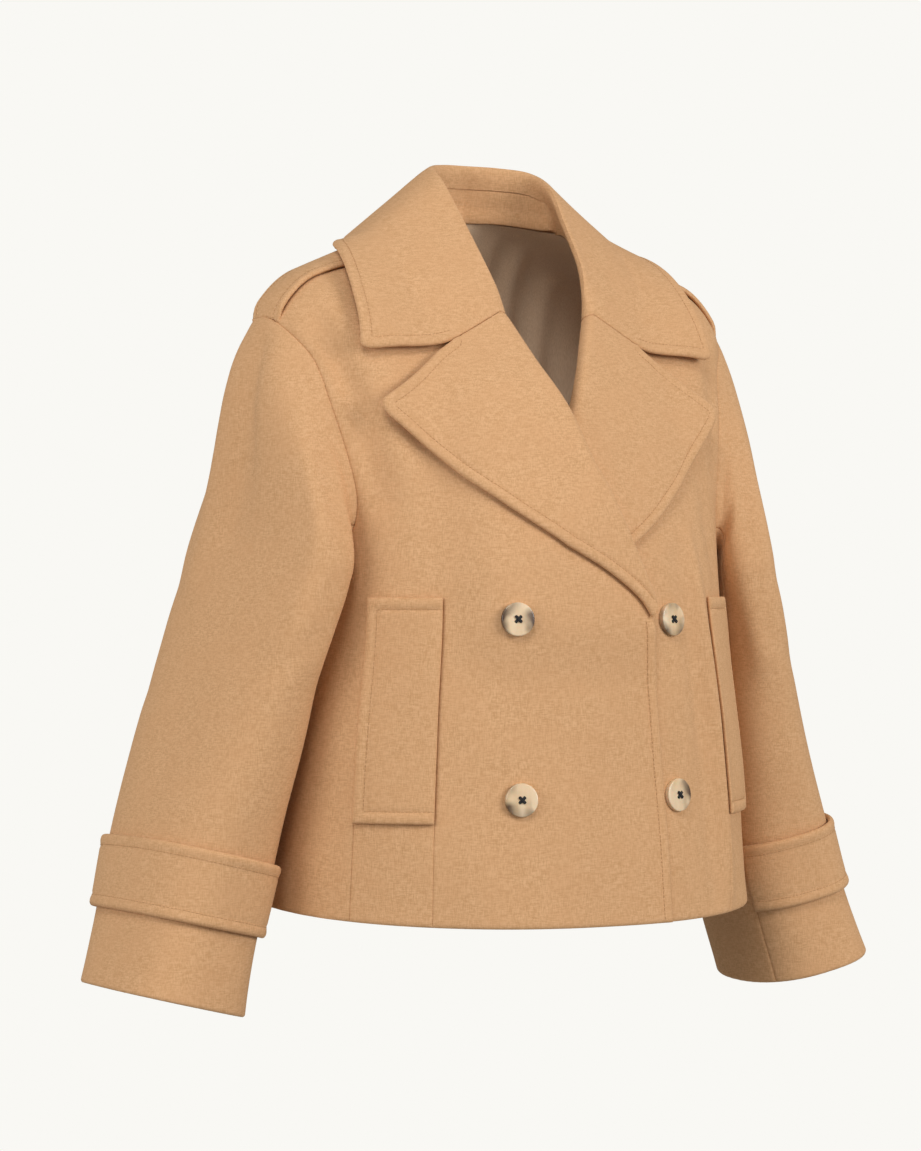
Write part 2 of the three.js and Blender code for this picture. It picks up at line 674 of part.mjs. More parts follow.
// Pocket welt over its panel
function welt(side, word) {
  const place = (share, z, off) => {
    const angle = shareAngle(share);
    const lift = lapLift(side, side * bodyAt(angle, z).x, z);
    const point = bodyPoint(angle, z, melton + layerGap + lift + off);
    point.x *= side;
    return point;
  };
  const shares = [pocket.outer, 0.84, 0.79, 0.73, pocket.front];
  const heights = steps(6).map((t) => mix(pocket.bottom, pocket.top, t));
  const grid = (off) => gridOf(heights, shares, (z, share) => place(share, z, off));
  return wall(`pocket_welt_${word}`, grid(pocket.thick - layerGap), grid(0), wool);
}

// Lining: it shows inside the back, through the neck
function lining() {
  const [outer, inner] = [gridBack(-liningCloth / 2), gridBack(-1.5 * liningCloth)];
  return wall("lining_back", outer, inner, satin, (r) => r >= liningFromRow);
}

// Button: a dished disc with a raised rim, lying on the cloth
function coatButton(name, side, z) {
  const { radius, thick, dish } = button;
  const profile = [[0, 0], [radius * 0.7, 0], [radius, thick * 0.4], [radius, thick * 0.6],
    [radius * 0.9, thick], [radius * 0.72, thick], [radius * 0.58, thick - dish], [0, thick - dish]];
  const geometry = new THREE.LatheGeometry(profile.map(([r, h]) => new THREE.Vector2(r, h)), 16);
  const mesh = new THREE.Mesh(geometry, new THREE.MeshStandardMaterial(horn));
  const angle = angleAt(button.out, z);
  const lift = side < 0 ? lapLift(side, -button.out, z) : 0;
  const place = bodyPoint(angle, z, melton + lift + button.off);
  const normal = bodyNormal(angle, z);
  place.x *= side;
  normal.x *= side;
  mesh.quaternion.setFromUnitVectors(new THREE.Vector3(0, 1, 0), normal);
  mesh.position.copy(place);
  mesh.name = name;
  return mesh;
}

const coat = new THREE.Group();
coat.name = "pea_coat";
for (const [side, word] of [[-1, "right"], [1, "left"]]) {
  coat.add(...fronts(side, word));
  coat.add(lapel(side, word));
  coat.add(...sleeve(side, word));
  coat.add(shoulderStrap(side, word));
  coat.add(welt(side, word));
  coat.add(coatButton(`button_top_${word}`, side, button.topZ));
  coat.add(coatButton(`button_bottom_${word}`, side, button.topZ - button.step));
}
coat.add(wall("back", gridBack(melton), gridBack(0), wool));
coat.add(collar());
coat.add(stand());
coat.add(lining());

export default coat;
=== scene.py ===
import math

import bpy
import numpy as np
from mathutils import Matrix, Vector


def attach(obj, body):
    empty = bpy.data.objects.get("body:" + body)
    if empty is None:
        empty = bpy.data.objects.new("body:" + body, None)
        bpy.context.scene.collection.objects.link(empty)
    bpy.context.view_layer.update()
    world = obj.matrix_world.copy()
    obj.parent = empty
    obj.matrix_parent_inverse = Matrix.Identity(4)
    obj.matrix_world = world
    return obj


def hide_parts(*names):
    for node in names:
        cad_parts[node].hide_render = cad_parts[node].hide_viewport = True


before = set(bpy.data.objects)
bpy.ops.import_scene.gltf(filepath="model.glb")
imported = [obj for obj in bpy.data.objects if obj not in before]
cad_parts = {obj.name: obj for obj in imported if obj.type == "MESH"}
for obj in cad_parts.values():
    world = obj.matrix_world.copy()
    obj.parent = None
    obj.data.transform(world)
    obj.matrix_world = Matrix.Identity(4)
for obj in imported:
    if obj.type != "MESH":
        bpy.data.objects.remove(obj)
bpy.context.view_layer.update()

# The coat is worked out in millimetres, in the frame's own axes, and made in metres.
# +Z is up, the front faces -Y, and -X is the wearer's right.
metre = 0.001
print("frame loaded:", len(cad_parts), "nodes")

# Camera: level, turned to the wearer's right front; degrees and metres, lens and sensor in mm
viewOf = {"azimuth": -30, "distance": 3.356, "aimHeight": -0.304, "aimDepth": 0.035, "aside": -0.0167,
          "lens": 117.6, "sensor": 36, "reach": 100}
viewTurn = math.radians(viewOf["azimuth"])
towardsCamera = Vector((math.sin(viewTurn), -math.cos(viewTurn), 0))
imageRight = Vector((math.cos(viewTurn), math.sin(viewTurn), 0))


def addObject(name, data):
    piece = bpy.data.objects.new(name, data)
    bpy.context.scene.collection.objects.link(piece)
    return piece


def makeCamera():
    data = bpy.data.cameras.new("camera")
    data.lens = viewOf["lens"]
    data.sensor_width = viewOf["sensor"]
    data.clip_end = viewOf["reach"]
    camera = addObject("camera", data)
    aim = Vector((0, viewOf["aimDepth"], viewOf["aimHeight"])) + imageRight * viewOf["aside"]
    camera.location = aim + towardsCamera * viewOf["distance"]
    camera.rotation_euler = (math.pi / 2, 0, viewTurn)
    bpy.context.scene.camera = camera


makeCamera()
print("camera set")

# Materials: colours as sRGB, grain and height in millimetres, stretch as a share of the grain
woolLook = {
    "light": "DAAD82", "middle": "CF9F73", "dark": "C09366", "nap": "EBCBA0",
    "fibre": 0.7, "thread": 0.9, "stretch": 0.16, "cloud": 26, "sheen": 0.24, "napHeight": 0.35,
}
satinLook = {"light": "EAD0B2", "dark": "D8BC9C", "thread": 0.8, "stretch": 0.15}
hornLook = {"pale": "EBD3B3", "warm": "D9B98F", "smoke": "4A3427", "blotch": 15, "stretch": 0.3}
threadLook = {"tonal": "B78A5B", "black": "0B0A0A"}


def linear(hexColour):
    parts = [int(hexColour[i:i + 2], 16) / 255 for i in (0, 2, 4)]
    return [p / 12.92 if p <= 0.04045 else ((p + 0.055) / 1.055) ** 2.4 for p in parts] + [1]


def addNode(tree, kind, settings=None, links=None):
    node = tree.nodes.new(kind)
    for name, value in (settings or {}).items():
        if name in node.inputs:
            node.inputs[name].default_value = value
        else:
            setattr(node, name, value)
    for name, source in (links or {}).items():
        tree.links.new(source, node.inputs[name])
    return node


def newMaterial(name):
    material = bpy.data.materials.new(name)
    material.use_nodes = True
    tree = material.node_tree
    surface = tree.nodes["Principled BSDF"]
    place = addNode(tree, "ShaderNodeTexCoord").outputs["Object"]
    return material, tree, surface, place


def blendColours(tree, share, first, second):
    node = addNode(tree, "ShaderNodeMix", {"data_type": "RGBA"})
    for socket, value in ((node.inputs[6], first), (node.inputs[7], second)):
        if isinstance(value, list):
            socket.default_value = value
        else:
            tree.links.new(value, socket)
    tree.links.new(share, node.inputs[0])
    return node.outputs[2]


def sharpen(tree, source, low, high):
    node = addNode(tree, "ShaderNodeMapRange", {"From Min": low, "From Max": high}, {"Value": source})
    return node.outputs["Result"]


def grainOf(tree, place, size, detail, stretch=None, **more):
    if stretch:
        place = addNode(tree, "ShaderNodeMapping", {"Scale": stretch}, {"Vector": place}).outputs[0]
    settings = {"Scale": 1000 / size, "Detail": detail, **more}
    return addNode(tree, "ShaderNodeTexNoise", settings, {"Vector": place}).outputs["Fac"]


def mathOf(tree, operation, first, second):
    return addNode(tree, "ShaderNodeMath", {"operation": operation}, {0: first, 1: second}).outputs[0]


def setSurface(tree, surface, colour, values):
    tree.links.new(colour, surface.inputs["Base Color"])
    for name, value in values.items():
        surface.inputs[name].default_value = value


# Wool melton: felted, brushed and sheared, so the eye gets a matt surface of short fibres in
# close tones, with a soft nap that lightens towards the outline
def makeWool():
    look = woolLook
    material, tree, surface, place = newMaterial("sheared wool melton")
    light, middle, dark = (linear(look[tone]) for tone in ("light", "middle", "dark"))
    fibre = grainOf(tree, place, look["fibre"], 3, Roughness=0.7)
    weft = grainOf(tree, place, look["thread"], 2, (look["stretch"], look["stretch"], 1))
    warp = grainOf(tree, place, look["thread"], 2, (1, 1, look["stretch"]))
    weave = mathOf(tree, "ADD", weft, warp)
    cloud = grainOf(tree, place, look["cloud"], 3)
    ground = blendColours(tree, sharpen(tree, weave, 0.8, 1.2), dark, light)
    ground = blendColours(tree, sharpen(tree, cloud, 0.35, 1.1), ground, middle)
    colour = blendColours(tree, sharpen(tree, fibre, 0.4, 1), ground, middle)
    setSurface(tree, surface, colour, {
        "Roughness": 0.95, "Specular IOR Level": 0.2, "Sheen Weight": look["sheen"],
        "Sheen Roughness": 0.5, "Sheen Tint": linear(look["nap"])})
    bump = addNode(tree, "ShaderNodeBump", {"Strength": 0.5, "Distance": look["napHeight"] * metre},
                   {"Height": mathOf(tree, "ADD", fibre, weave)})
    tree.links.new(bump.outputs[0], surface.inputs["Normal"])
    return material


# Lining satin: smooth floated threads that run down, so the gleam is soft and wide
def makeSatin():
    look = satinLook
    material, tree, surface, place = newMaterial("taupe lining satin")
    thread = grainOf(tree, place, look["thread"], 2, (1, 1, look["stretch"]))
    colour = blendColours(tree, sharpen(tree, thread, 0.3, 0.7), linear(look["dark"]), linear(look["light"]))
    setSurface(tree, surface, colour, {"Roughness": 0.42, "Sheen Weight": 0.15, "Anisotropic": 0.4})
    return material


# Horn-like polyester, moulded and polished: pale with smoky blotches gathered at the rim
def makeHorn():
    look = hornLook
    material, tree, surface, place = newMaterial("polished horn-like polyester")
    blotch = grainOf(tree, place, look["blotch"], 1)
    vein = grainOf(tree, place, look["blotch"], 3, (1, 1, look["stretch"]))
    rim = addNode(tree, "ShaderNodeAttribute", {"attribute_name": "rim"}).outputs["Fac"]
    body = blendColours(tree, sharpen(tree, vein, 0.35, 0.7), linear(look["pale"]), linear(look["warm"]))
    smoke = mathOf(tree, "MULTIPLY", sharpen(tree, blotch, 0.4, 0.62), rim)
    colour = blendColours(tree, smoke, body, linear(look["smoke"]))
    setSurface(tree, surface, colour, {
        "Roughness": 0.22, "IOR": 1.54, "Subsurface Weight": 0.1, "Subsurface Scale": 0.002})
    return material


# Spun polyester thread: slightly glossier than the wool, in one colour
def makeThread(name, hexColour):
    material, _, surface, _ = newMaterial(name)
    surface.inputs["Base Color"].default_value = linear(hexColour)
    surface.inputs["Roughness"].default_value = 0.6
    return material


wool = makeWool()
satin = makeSatin()
horn = makeHorn()
tonalThread = makeThread("tonal topstitch thread", threadLook["tonal"])
blackThread = makeThread("black button thread", threadLook["black"])
print("materials made")

# Coat sizes, as the frame's solids have them
melton = 2.4
turnedLeaf = 4.6
seamGap = 0.3
seamLine = 0.04
layerGap = 1
roundness = 2.2
shoulderY = 18
shoulderFlatOut = 90
shoulderSlope = 0.42
shoulderDrop = 4
shoulderTurn = {"from": 185, "over": 44, "drop": 27}
slopeTip = {"power": 2.4, "from": 105, "to": 215}
frontSlope = {"reach": 300, "power": 1.5}
backSlope = {"reach": 230, "power": 2.1}
shoulderReach = 200
bodyRows = {
    "z": (-620, -510, -420, -330, -260, -220, -160, -120, -80, 30),
    "side": (226, 218, 209, 198, 198, 204, 218, 228, 252, 262),
    "front": (180, 174, 169, 163, 154, 149, 146, 145, 145, 145),
    "back": (158, 147, 136, 126, 120, 118, 116, 115, 115, 115),
}
hem = {"side": -588, "frontDrop": 12, "backDrop": 4, "blend": 60, "round": 2.6, "full": 0.5, "fullWide": 12}
armhole = {"share": 0.896, "underZ": -288, "turn": 66, "setOff": 4.2}
edgeRows = {
    "z": (-604, -480, -345, -326, -302, -273, -245, -209, -166, -131, -81, -58, -34, -10, 3),
    "left": (-64, -63, -61, -58, -51, -43, -33, -20, -4, 13.5, 41, 56, 64, 70, 72),
    "right": (-65, -60, -49, -44.5, -36, -24, -12, 1, 13, 26, 41, 56, 64, 70, 72),
}
neckOut = 72
backNeckZ = 14
lapRows = {"z": (-620, -400, -340, -200, -150, -95, 30), "lift": (4, 4, 12.4, 12.4, 9, 0, 0)}
lapFade = {"from": -140, "to": -82}
lapelEdge = {
    "at": (0, 0.08, 0.22, 0.4, 0.6, 0.8, 1),
    "out": (-43, -31, -2, 40, 83, 125, 168),
    "z": (-341, -325, -303, -278, -247, -208, -163),
}
lapelFoldFrom = -334
gorge = {"out": 41, "z": -81}
notch = {"out": 90, "z": -107}
peak = {"out": 168, "z": -163}
notchShare = 0.36
lapelLift = {"fold": 1.6, "peak": 9}
lapelRoll = 5
lapelSize = {"along": 185, "across": 150, "corner": 10}
collarRows = {
    "at": (0, 1, 2, 3, 4, 5, 6, 7),
    "foldOut": (41, 45, 50.5, 53.7, 55.5, 50, 28, 0),
    "foldY": (-84, -76, -56, -23, 5, 32, 49, 55),
    "foldZ": (-81, -60, -32, 8, 40, 55, 60, 61),
    "edgeOut": (174, 172, 169, 161, 148, 120, 70, 0),
    "edgeY": (-62, -50, -30, -3, 30, 76, 110, 122),
    "edgeZ": (-124, -102, -67, -38, -21, -14, -19, -24),
}
neckRows = {
    "at": (0, 1, 2, 3, 4, 5, 6, 7),
    "out": (43, 56, 64, 70, 72, 58, 31, 0),
    "z": (-79, -58, -34, -10, 3, 8, 12.6, 14),
}
collarOf = {"fold": 5, "bulge": 2, "inside": 18, "clear": 13, "backClear": 9.5, "from": 0.26, "notchAt": 0.79,
            "row": 22, "across": 250, "corner": 9}
standOf = {"from": 0.5, "foot": -0.08, "half": 1.4, "in": 4.4}
armRows = {
    "z": (-662, -598, -538, -460, -370, -300),
    "out": (323, 305, 289, 269, 249, 233),
    "y": (12, 22, 26, 24, 14, 6),
    "across": (62, 58, 56, 48, 37, 30),
    "along": (75, 79, 85, 94, 101, 102),
    "yaw": (5, 6, 7, 8, 9, 10),
    "tilt": (13.6, 12.5, 13.4, 14, 12, 9),
    "rise": (-0.03, -0.026, -0.016, 0, 0, 0),
}
armHem = -662
armTop = -300
armRoundness = 2.5
frontSeamAngle = 138
hindSeamAngle = -128
capPull = 0.9
capTuck = {"off": 0.4, "start": 0.006, "shares": (0, 0.3, 0.6, 0.85)}
strap = {"top": -538, "bottom": -598, "off": 1.4, "thick": 4.6}
epaulette = {"front": -8, "back": 36, "outer": 220, "inner": 132, "off": 1.2, "thick": 3.6,
             "past": 5, "tucked": 4.2, "tuckLong": 10, "stitchShare": 0.75}
pocket = {"outer": 0.887, "front": 0.66, "top": -323, "bottom": -512, "thick": 3.4,
          "stitchMore": 0.8, "tucked": 0.9, "tuckWide": 9}
button = {"radius": 14.2, "thick": 5, "off": 0.6, "out": 78, "topZ": -342, "step": 150}

# Sewing
stitchOf = {"in": 9.5, "pitch": 3.6, "long": 2.7, "thick": 0.5, "up": 0.12, "slack": 0.4,
            "groove": 0.9, "grooveWide": 1.3, "puff": 0.8}
gridStep = {"panel": 4, "leaf": 2.6}
seamDraw = {"panel": (1, 2.4), "gorge": (1.1, 2.2), "sleeve": (1.1, 2.6), "armhole": (0.8, 2.5),
            "stand": (0.7, 1.8)}
edgeRound = {"lapel": 1.3, "collar": 1.3, "strap": 1.3, "epaulette": 1.4, "welt": 1.4}


def mix(a, b, t):
    return a + (b - a) * t


def clamp(t):
    return np.clip(t, 0, 1)


def ease(t):
    return clamp(t) ** 2 * (3 - 2 * clamp(t))


def signedPower(t, power):
    return np.sign(t) * np.abs(t) ** power


def joined(x, y, z):
    return np.stack(np.broadcast_arrays(x, y, z), -1).astype(float)


def unit(v):
    return v / np.maximum(np.linalg.norm(v, axis=-1, keepdims=True), 1e-9)


# Smooth reading of a table between its rows: a cubic with each row's own slope
def readRow(table, key, at):
    keys = np.array(table[key], float)
    at = np.clip(np.asarray(at, float), keys[0], keys[-1])
    i = np.clip(np.searchsorted(keys, at, side="right") - 1, 0, len(keys) - 2)
    span = keys[i + 1] - keys[i]
    t = (at - keys[i]) / span
    result = {}
    for name, column in table.items():
        value = np.array(column, float)
        low = np.maximum(np.arange(len(keys)) - 1, 0)
        high = np.minimum(np.arange(len(keys)) + 1, len(keys) - 1)
        slope = (value[high] - value[low]) / (keys[high] - keys[low])
        a, b = value[i], value[i + 1]
        m, n = slope[i] * span, slope[i + 1] * span
        result[name] = a + t * m + t * t * (3 * (b - a) - 2 * m - n) + t ** 3 * (2 * (a - b) + m + n)
    return result


def shoulderZ(x):
    out = np.abs(x)
    turn = np.maximum(0, out - shoulderTurn["from"]) / shoulderTurn["over"]
    return shoulderSlope * (shoulderFlatOut - out) - shoulderDrop - shoulderTurn["drop"] * turn * turn


# The body's inner face at an angle round it (0 centre front, pi centre back) and a height
def bodyAt(angle, z):
    row = readRow(bodyRows, "z", z)
    x = row["side"] * signedPower(np.sin(angle), 2 / roundness)
    turned = signedPower(np.cos(angle), 2 / roundness)
    down = shoulderZ(x) - z
    isFront = turned >= 0
    tip = ease((np.abs(x) - slopeTip["from"]) / (slopeTip["to"] - slopeTip["from"]))
    power = mix(np.where(isFront, frontSlope["power"], backSlope["power"]), slopeTip["power"], tip)
    reach = np.where(isFront, frontSlope["reach"], backSlope["reach"])
    depth = np.where(isFront, row["front"], row["back"])
    depth = depth * (1 - (1 - clamp(down / reach)) ** power) ** (1 / power)
    return joined(x, shoulderY * (1 - ease(down / shoulderReach)) - turned * depth, z)


def bodyNormal(angle, z):
    step = 0.4
    x = bodyAt(angle, z)[..., 0]
    along = bodyAt(angle + 0.01, z) - bodyAt(angle - 0.01, z)
    up = bodyAt(angle, z + step) - bodyAt(angle, z - step)
    lying = joined((shoulderZ(x - step) - shoulderZ(x + step)) / (2 * step), 0, 1)
    isTop = (shoulderZ(x) - z < 2 * step)[..., None]
    return np.where(isTop, unit(lying), unit(np.cross(along, up)))


# A fold: how wide and how high it is in millimetres, and the points that it runs through
def foldAlong(wide, high, *run):
    return {"wide": wide, "high": high, "run": run}


# Folds of the body: each runs through points (x, z)
frontFolds = [
    foldAlong(12, -7, (-206, -66), (-190, -120), (-178, -171), (-166, -240)),
    foldAlong(20, 2.2, (-150, -110), (-158, -190), (-160, -280)),
    foldAlong(8, 6, (112, -270), (121, -345), (135, -430), (150, -580)),
    foldAlong(12, -5, (94, -290), (101, -345), (115, -430), (128, -580)),
    foldAlong(11, -3, (146, -220), (152, -290), (160, -330)),
    foldAlong(22, 1.6, (-112, -420), (-118, -500), (-122, -600)),
    foldAlong(26, 1.4, (-20, -430), (-26, -520), (-30, -610)),
    foldAlong(13, -4, (188, -80), (184, -140), (172, -210)),
    foldAlong(20, -1.6, (100, -430), (104, -520), (108, -610)),
]
backFolds = [
    foldAlong(24, 4, (-120, -150), (-112, -300), (-104, -480)),
    foldAlong(20, -3.4, (-84, -260), (-76, -400), (-70, -590)),
    foldAlong(26, 3.6, (98, -130), (104, -290), (96, -430)),
    foldAlong(22, -3.2, (62, -300), (54, -440), (50, -600)),
    foldAlong(22, 3, (150, -330), (146, -460), (150, -600)),
    foldAlong(24, 2.6, (-20, -340), (-14, -460), (-10, -600)),
    foldAlong(16, -1.6, (-60, -70), (0, -86), (60, -72)),
    foldAlong(14, -4, (-190, -110), (-178, -190), (-170, -250)),
    foldAlong(14, -3.4, (190, -100), (176, -190), (172, -240)),
]


foldEnds = {"share": 0.12, "power": 0.8}
calmWithin = {"shoulder": 40, "armhole": 11, "neck": 30, "sleeveHead": 30}


def foldHeight(folds, u, v):
    height = np.zeros(np.broadcast(u, v).shape)
    for each in folds:
        run = np.array(each["run"], float)
        lengths = np.linalg.norm(np.diff(run, axis=0), axis=1)
        total = lengths.sum()
        best = np.full(height.shape, 1e9)
        along = np.zeros(height.shape)
        for i, length in enumerate(lengths):
            du, dv = (run[i + 1] - run[i]) / length
            t = np.clip((u - run[i][0]) * du + (v - run[i][1]) * dv, 0, length)
            distance = np.hypot(u - run[i][0] - t * du, v - run[i][1] - t * dv)
            nearer = distance < best
            best = np.where(nearer, distance, best)
            along = np.where(nearer, (lengths[:i].sum() + t) / total, along)
        within = mix(foldEnds["share"], 1 - foldEnds["share"], along)
        taper = np.sin(np.pi * np.clip(within, 0, 1)) ** foldEnds["power"]
        height = height + each["high"] * taper * np.exp(-(best / each["wide"]) ** 2)
    return height


# Slow unevenness that worn cloth has everywhere, about a millimetre
def unevenness(x, y, z):
    return (0.5 * np.sin(x / 31 + z / 47 + 1.3) * np.cos(z / 38 - y / 29)
            + 0.35 * np.sin(y / 23 - z / 27 + 0.4) + 0.25 * np.sin(x / 17 + y / 19 + z / 21))


def bodyPoint(angle, z, off, side=1):
    here = bodyAt(angle, z)
    x = side * here[..., 0]
    isFront = np.cos(angle) >= 0
    toArmhole = armholeShareAt(z) * readRow(bodyRows, "z", z)["side"] - np.abs(x)
    quiet = ease((shoulderZ(x) - z) / calmWithin["shoulder"]) * ease(toArmhole / calmWithin["armhole"])
    height = np.where(isFront, foldHeight(frontFolds, x, z), foldHeight(backFolds, x, z))
    height = quiet * (height + unevenness(x, here[..., 1], z))
    point = here + bodyNormal(angle, z) * (off + height)[..., None]
    point[..., 0] *= side
    return point


def shareAngle(share):
    return np.arcsin(signedPower(np.clip(share, -1, 1), roundness / 2))


def angleAt(x, z):
    return shareAngle(x / readRow(bodyRows, "z", z)["side"])


def armholeShareAt(z):
    up = clamp((z - armhole["underZ"]) / armhole["turn"])
    return armhole["share"] + (1 - armhole["share"]) * (1 - np.sqrt(1 - (1 - up) ** 2))


def settle(start, heightAt, share):
    z = np.full(np.shape(share), float(start))
    for _ in range(30):
        z = mix(z, heightAt(readRow(bodyRows, "z", z)["side"] * share), 0.7)
    return z


def shoulderTop(share):
    return settle(-40, shoulderZ, share)


def neckTopAt(x):
    return np.where(np.abs(x) >= neckOut, shoulderZ(x),
                    mix(backNeckZ, shoulderZ(neckOut), (np.abs(x) / neckOut) ** 2))


shoulderTipZ = float(shoulderTop(armhole["share"]))

# A closed shell of cloth between two grids of points, over the cells that are kept
smoothAngle = 38


def makeShell(name, outer, inner, material, keep=None):
    rows, columns = outer.shape[:2]
    count = rows * columns
    index = np.arange(count).reshape(rows, columns)
    if keep is None:
        keep = np.ones((rows - 1, columns - 1), bool)
    a, b, c, d = index[:-1, :-1], index[:-1, 1:], index[1:, 1:], index[1:, :-1]
    around = np.pad(keep, 1)
    faces = [np.stack([a, b, c, d], -1)[keep], np.stack([a, d, c, b], -1)[keep] + count]
    for beside, p, q in ((around[:-2, 1:-1], a, b), (around[2:, 1:-1], c, d),
                         (around[1:-1, :-2], d, a), (around[1:-1, 2:], b, c)):
        ends = keep & ~beside
        faces.append(np.stack([p, p + count, q + count, q], -1)[ends])
    faces = np.concatenate(faces)
    points = np.concatenate([outer.reshape(-1, 3), inner.reshape(-1, 3)])
    used, faces = np.unique(faces, return_inverse=True)
    points, faces = points[used], faces.reshape(-1, 4)
    corners = points[faces]
    volume = sum(np.einsum("ij,ij->i", corners[:, 0], np.cross(corners[:, k], corners[:, k + 1])).sum()
                 for k in (1, 2))
    piece = makeMesh(name, points, (faces[:, ::-1] if volume < 0 else faces).tolist(), material)
    piece.data.set_sharp_from_angle(angle=math.radians(smoothAngle))
    return piece


def makeMesh(name, points, faces, material):
    mesh = bpy.data.meshes.new(name)
    mesh.from_pydata((points * metre).tolist(), [], faces)
    mesh.validate()
    mesh.shade_smooth()
    mesh.materials.append(material)
    return addObject(name, mesh)


# Outward normals of a grid of points
def gridNormals(points, outward):
    normal = unit(np.cross(np.gradient(points, axis=0), np.gradient(points, axis=1)))
    if np.sum(normal * outward) < 0:
        normal = -normal
    return normal


# Distance from each point of a grid to the nearest of some lines of points
def distanceTo(points, *lines):
    flat = points.reshape(-1, 3)
    best = np.full(len(flat), 1e9)
    for line in lines:
        for start, end in zip(line[:-1], line[1:]):
            step = end - start
            t = np.clip((flat - start) @ step / max(step @ step, 1e-9), 0, 1)
            best = np.minimum(best, np.linalg.norm(flat - start - t[:, None] * step, axis=1))
    return best.reshape(points.shape[:-1])


# Steps along a length, closer together near the ends that are named, in millimetres from them
edgeSteps = (0.3, 0.9, 1.8, 3)


def spaced(length, step, start=True, end=True):
    count = max(2, int(round(length / step)))
    values = list(np.linspace(0, 1, count + 1))
    if start:
        values += [n / length for n in edgeSteps if n < length / 2]
    if end:
        values += [1 - n / length for n in edgeSteps if n < length / 2]
    values = sorted(values)
    kept = [values[0]]
    for value in values[1:]:
        if value - kept[-1] > 0.15 / length:
            kept.append(value)
    return np.array(kept)


def roundOver(distance, radius):
    return np.sqrt(1 - (1 - clamp(distance / radius)) ** 2)


# How far a seam draws the cloth in beside it
def drawnIn(distance, kind):
    deep, wide = seamDraw[kind]
    return deep * (1 - roundOver(distance, wide))


# Half the thickness beside a turned hem: rounded over, and a little fuller inside it
def hemmed(distance):
    fuller = hem["full"] * np.exp(-(distance / hem["fullWide"]) ** 2) * clamp(distance / 2)
    return melton / 2 * roundOver(distance, hem["round"]) + fuller


# Beside a stitched edge: fuller between the edge and the stitches, drawn in along them
def dressed(distance, reach=stitchOf["in"], puff=1, groove=1):
    fuller = stitchOf["puff"] * np.exp(-((distance - reach * 0.5) / (reach * 0.4)) ** 2)
    sunk = stitchOf["groove"] * np.exp(-((distance - reach) / stitchOf["grooveWide"]) ** 2)
    return puff * fuller - groove * sunk


# Rounds a corner of a piece where two edges meet: a and b are distances from them, in millimetres
def roundedCorner(a, b, radius):
    p = np.clip(radius - a, 0, radius)
    q = np.clip(radius - b, 0, radius)
    size = np.maximum(np.hypot(p, q), 1e-9)
    share = np.where((p > 0) & (q > 0), np.maximum(p, q) / size, 1)
    return a + p * (1 - share), b + q * (1 - share)


stitchRuns = {}


# A run of stitches where the distance from an edge reaches a value, line by line across the grid
# (lineAxis 0 goes down the columns), only where the other distances are as great
def sewAlong(name, surface, normals, distance, others, lineAxis, fromEnd, level=stitchOf["in"], keep=None):
    keep = np.ones(distance.shape, bool) if keep is None else keep
    grids = [surface, normals, distance, keep, *others]
    if lineAxis == 0:
        grids = [grid.swapaxes(0, 1) for grid in grids]
    if fromEnd:
        grids = [grid[:, ::-1] for grid in grids]
    surface, normals, distance, keep, *others = grids
    points, ups = [], []
    for line in range(len(surface)):
        beyond = np.nonzero(distance[line] >= level)[0]
        if len(beyond) == 0 or beyond[0] == 0:
            continue
        i = beyond[0]
        t = (level - distance[line, i - 1]) / max(distance[line, i] - distance[line, i - 1], 1e-9)
        inside = all(mix(o[line, i - 1], o[line, i], t) >= level - stitchOf["slack"] for o in others)
        if inside and keep[line, i]:
            points.append(mix(surface[line, i - 1], surface[line, i], t))
            ups.append(mix(normals[line, i - 1], normals[line, i], t))
    if len(points) > 2:
        stitchRuns.setdefault(name, []).append((np.array(points), unit(np.array(ups))))


# All the stitches of a piece as one mesh: each is a short thread with pointed ends
def makeStitches(name):
    rings, sides = ((-0.5, 0.25), (-0.3, 1), (0.3, 1), (0.5, 0.25)), 5
    turns = np.arange(sides) * 2 * np.pi / sides
    radius = stitchOf["thick"] / 2
    thread = np.array([(place * stitchOf["long"], size * radius * np.cos(turn),
                        size * radius * np.sin(turn) + stitchOf["up"])
                       for place, size in rings for turn in turns])
    k = np.arange(sides)
    n = (k + 1) % sides
    starts = range(0, (len(rings) - 1) * sides, sides)
    skin = np.concatenate([np.stack([k, n, n + sides, k + sides], -1) + first for first in starts])
    ends = np.stack([k[::-1], k + starts[-1] + sides])
    points, faces = [], []
    for path, ups in stitchRuns[name]:
        lengths = np.concatenate([[0], np.cumsum(np.linalg.norm(np.diff(path, axis=0), axis=1))])
        count = int(lengths[-1] / stitchOf["pitch"])
        for middle in (np.arange(count) + 0.5) * lengths[-1] / max(count, 1):
            here, ahead, behind, up = (
                np.array([np.interp(at, lengths, values[:, axis]) for axis in range(3)])
                for at, values in ((middle, path), (middle + 1, path), (middle - 1, path), (middle, ups)))
            along = unit(ahead - behind)
            across = unit(np.cross(up, along))
            first = len(points) * len(thread)
            points.append(here + thread @ np.array([along, across, np.cross(along, across)]))
            faces += (skin + first).tolist() + (ends + first).tolist()
    piece = makeMesh(f"{name}Stitches", np.concatenate(points), faces, tonalThread)
    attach(piece, "root")
    return piece


# Hangs the piece under the root, hides the frame's part that it stands for, and makes its stitches
def declareCloth(piece, node):
    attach(piece, "root")
    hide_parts(node)
    withPieces = [makeStitches(piece.name)] if piece.name in stitchRuns else []


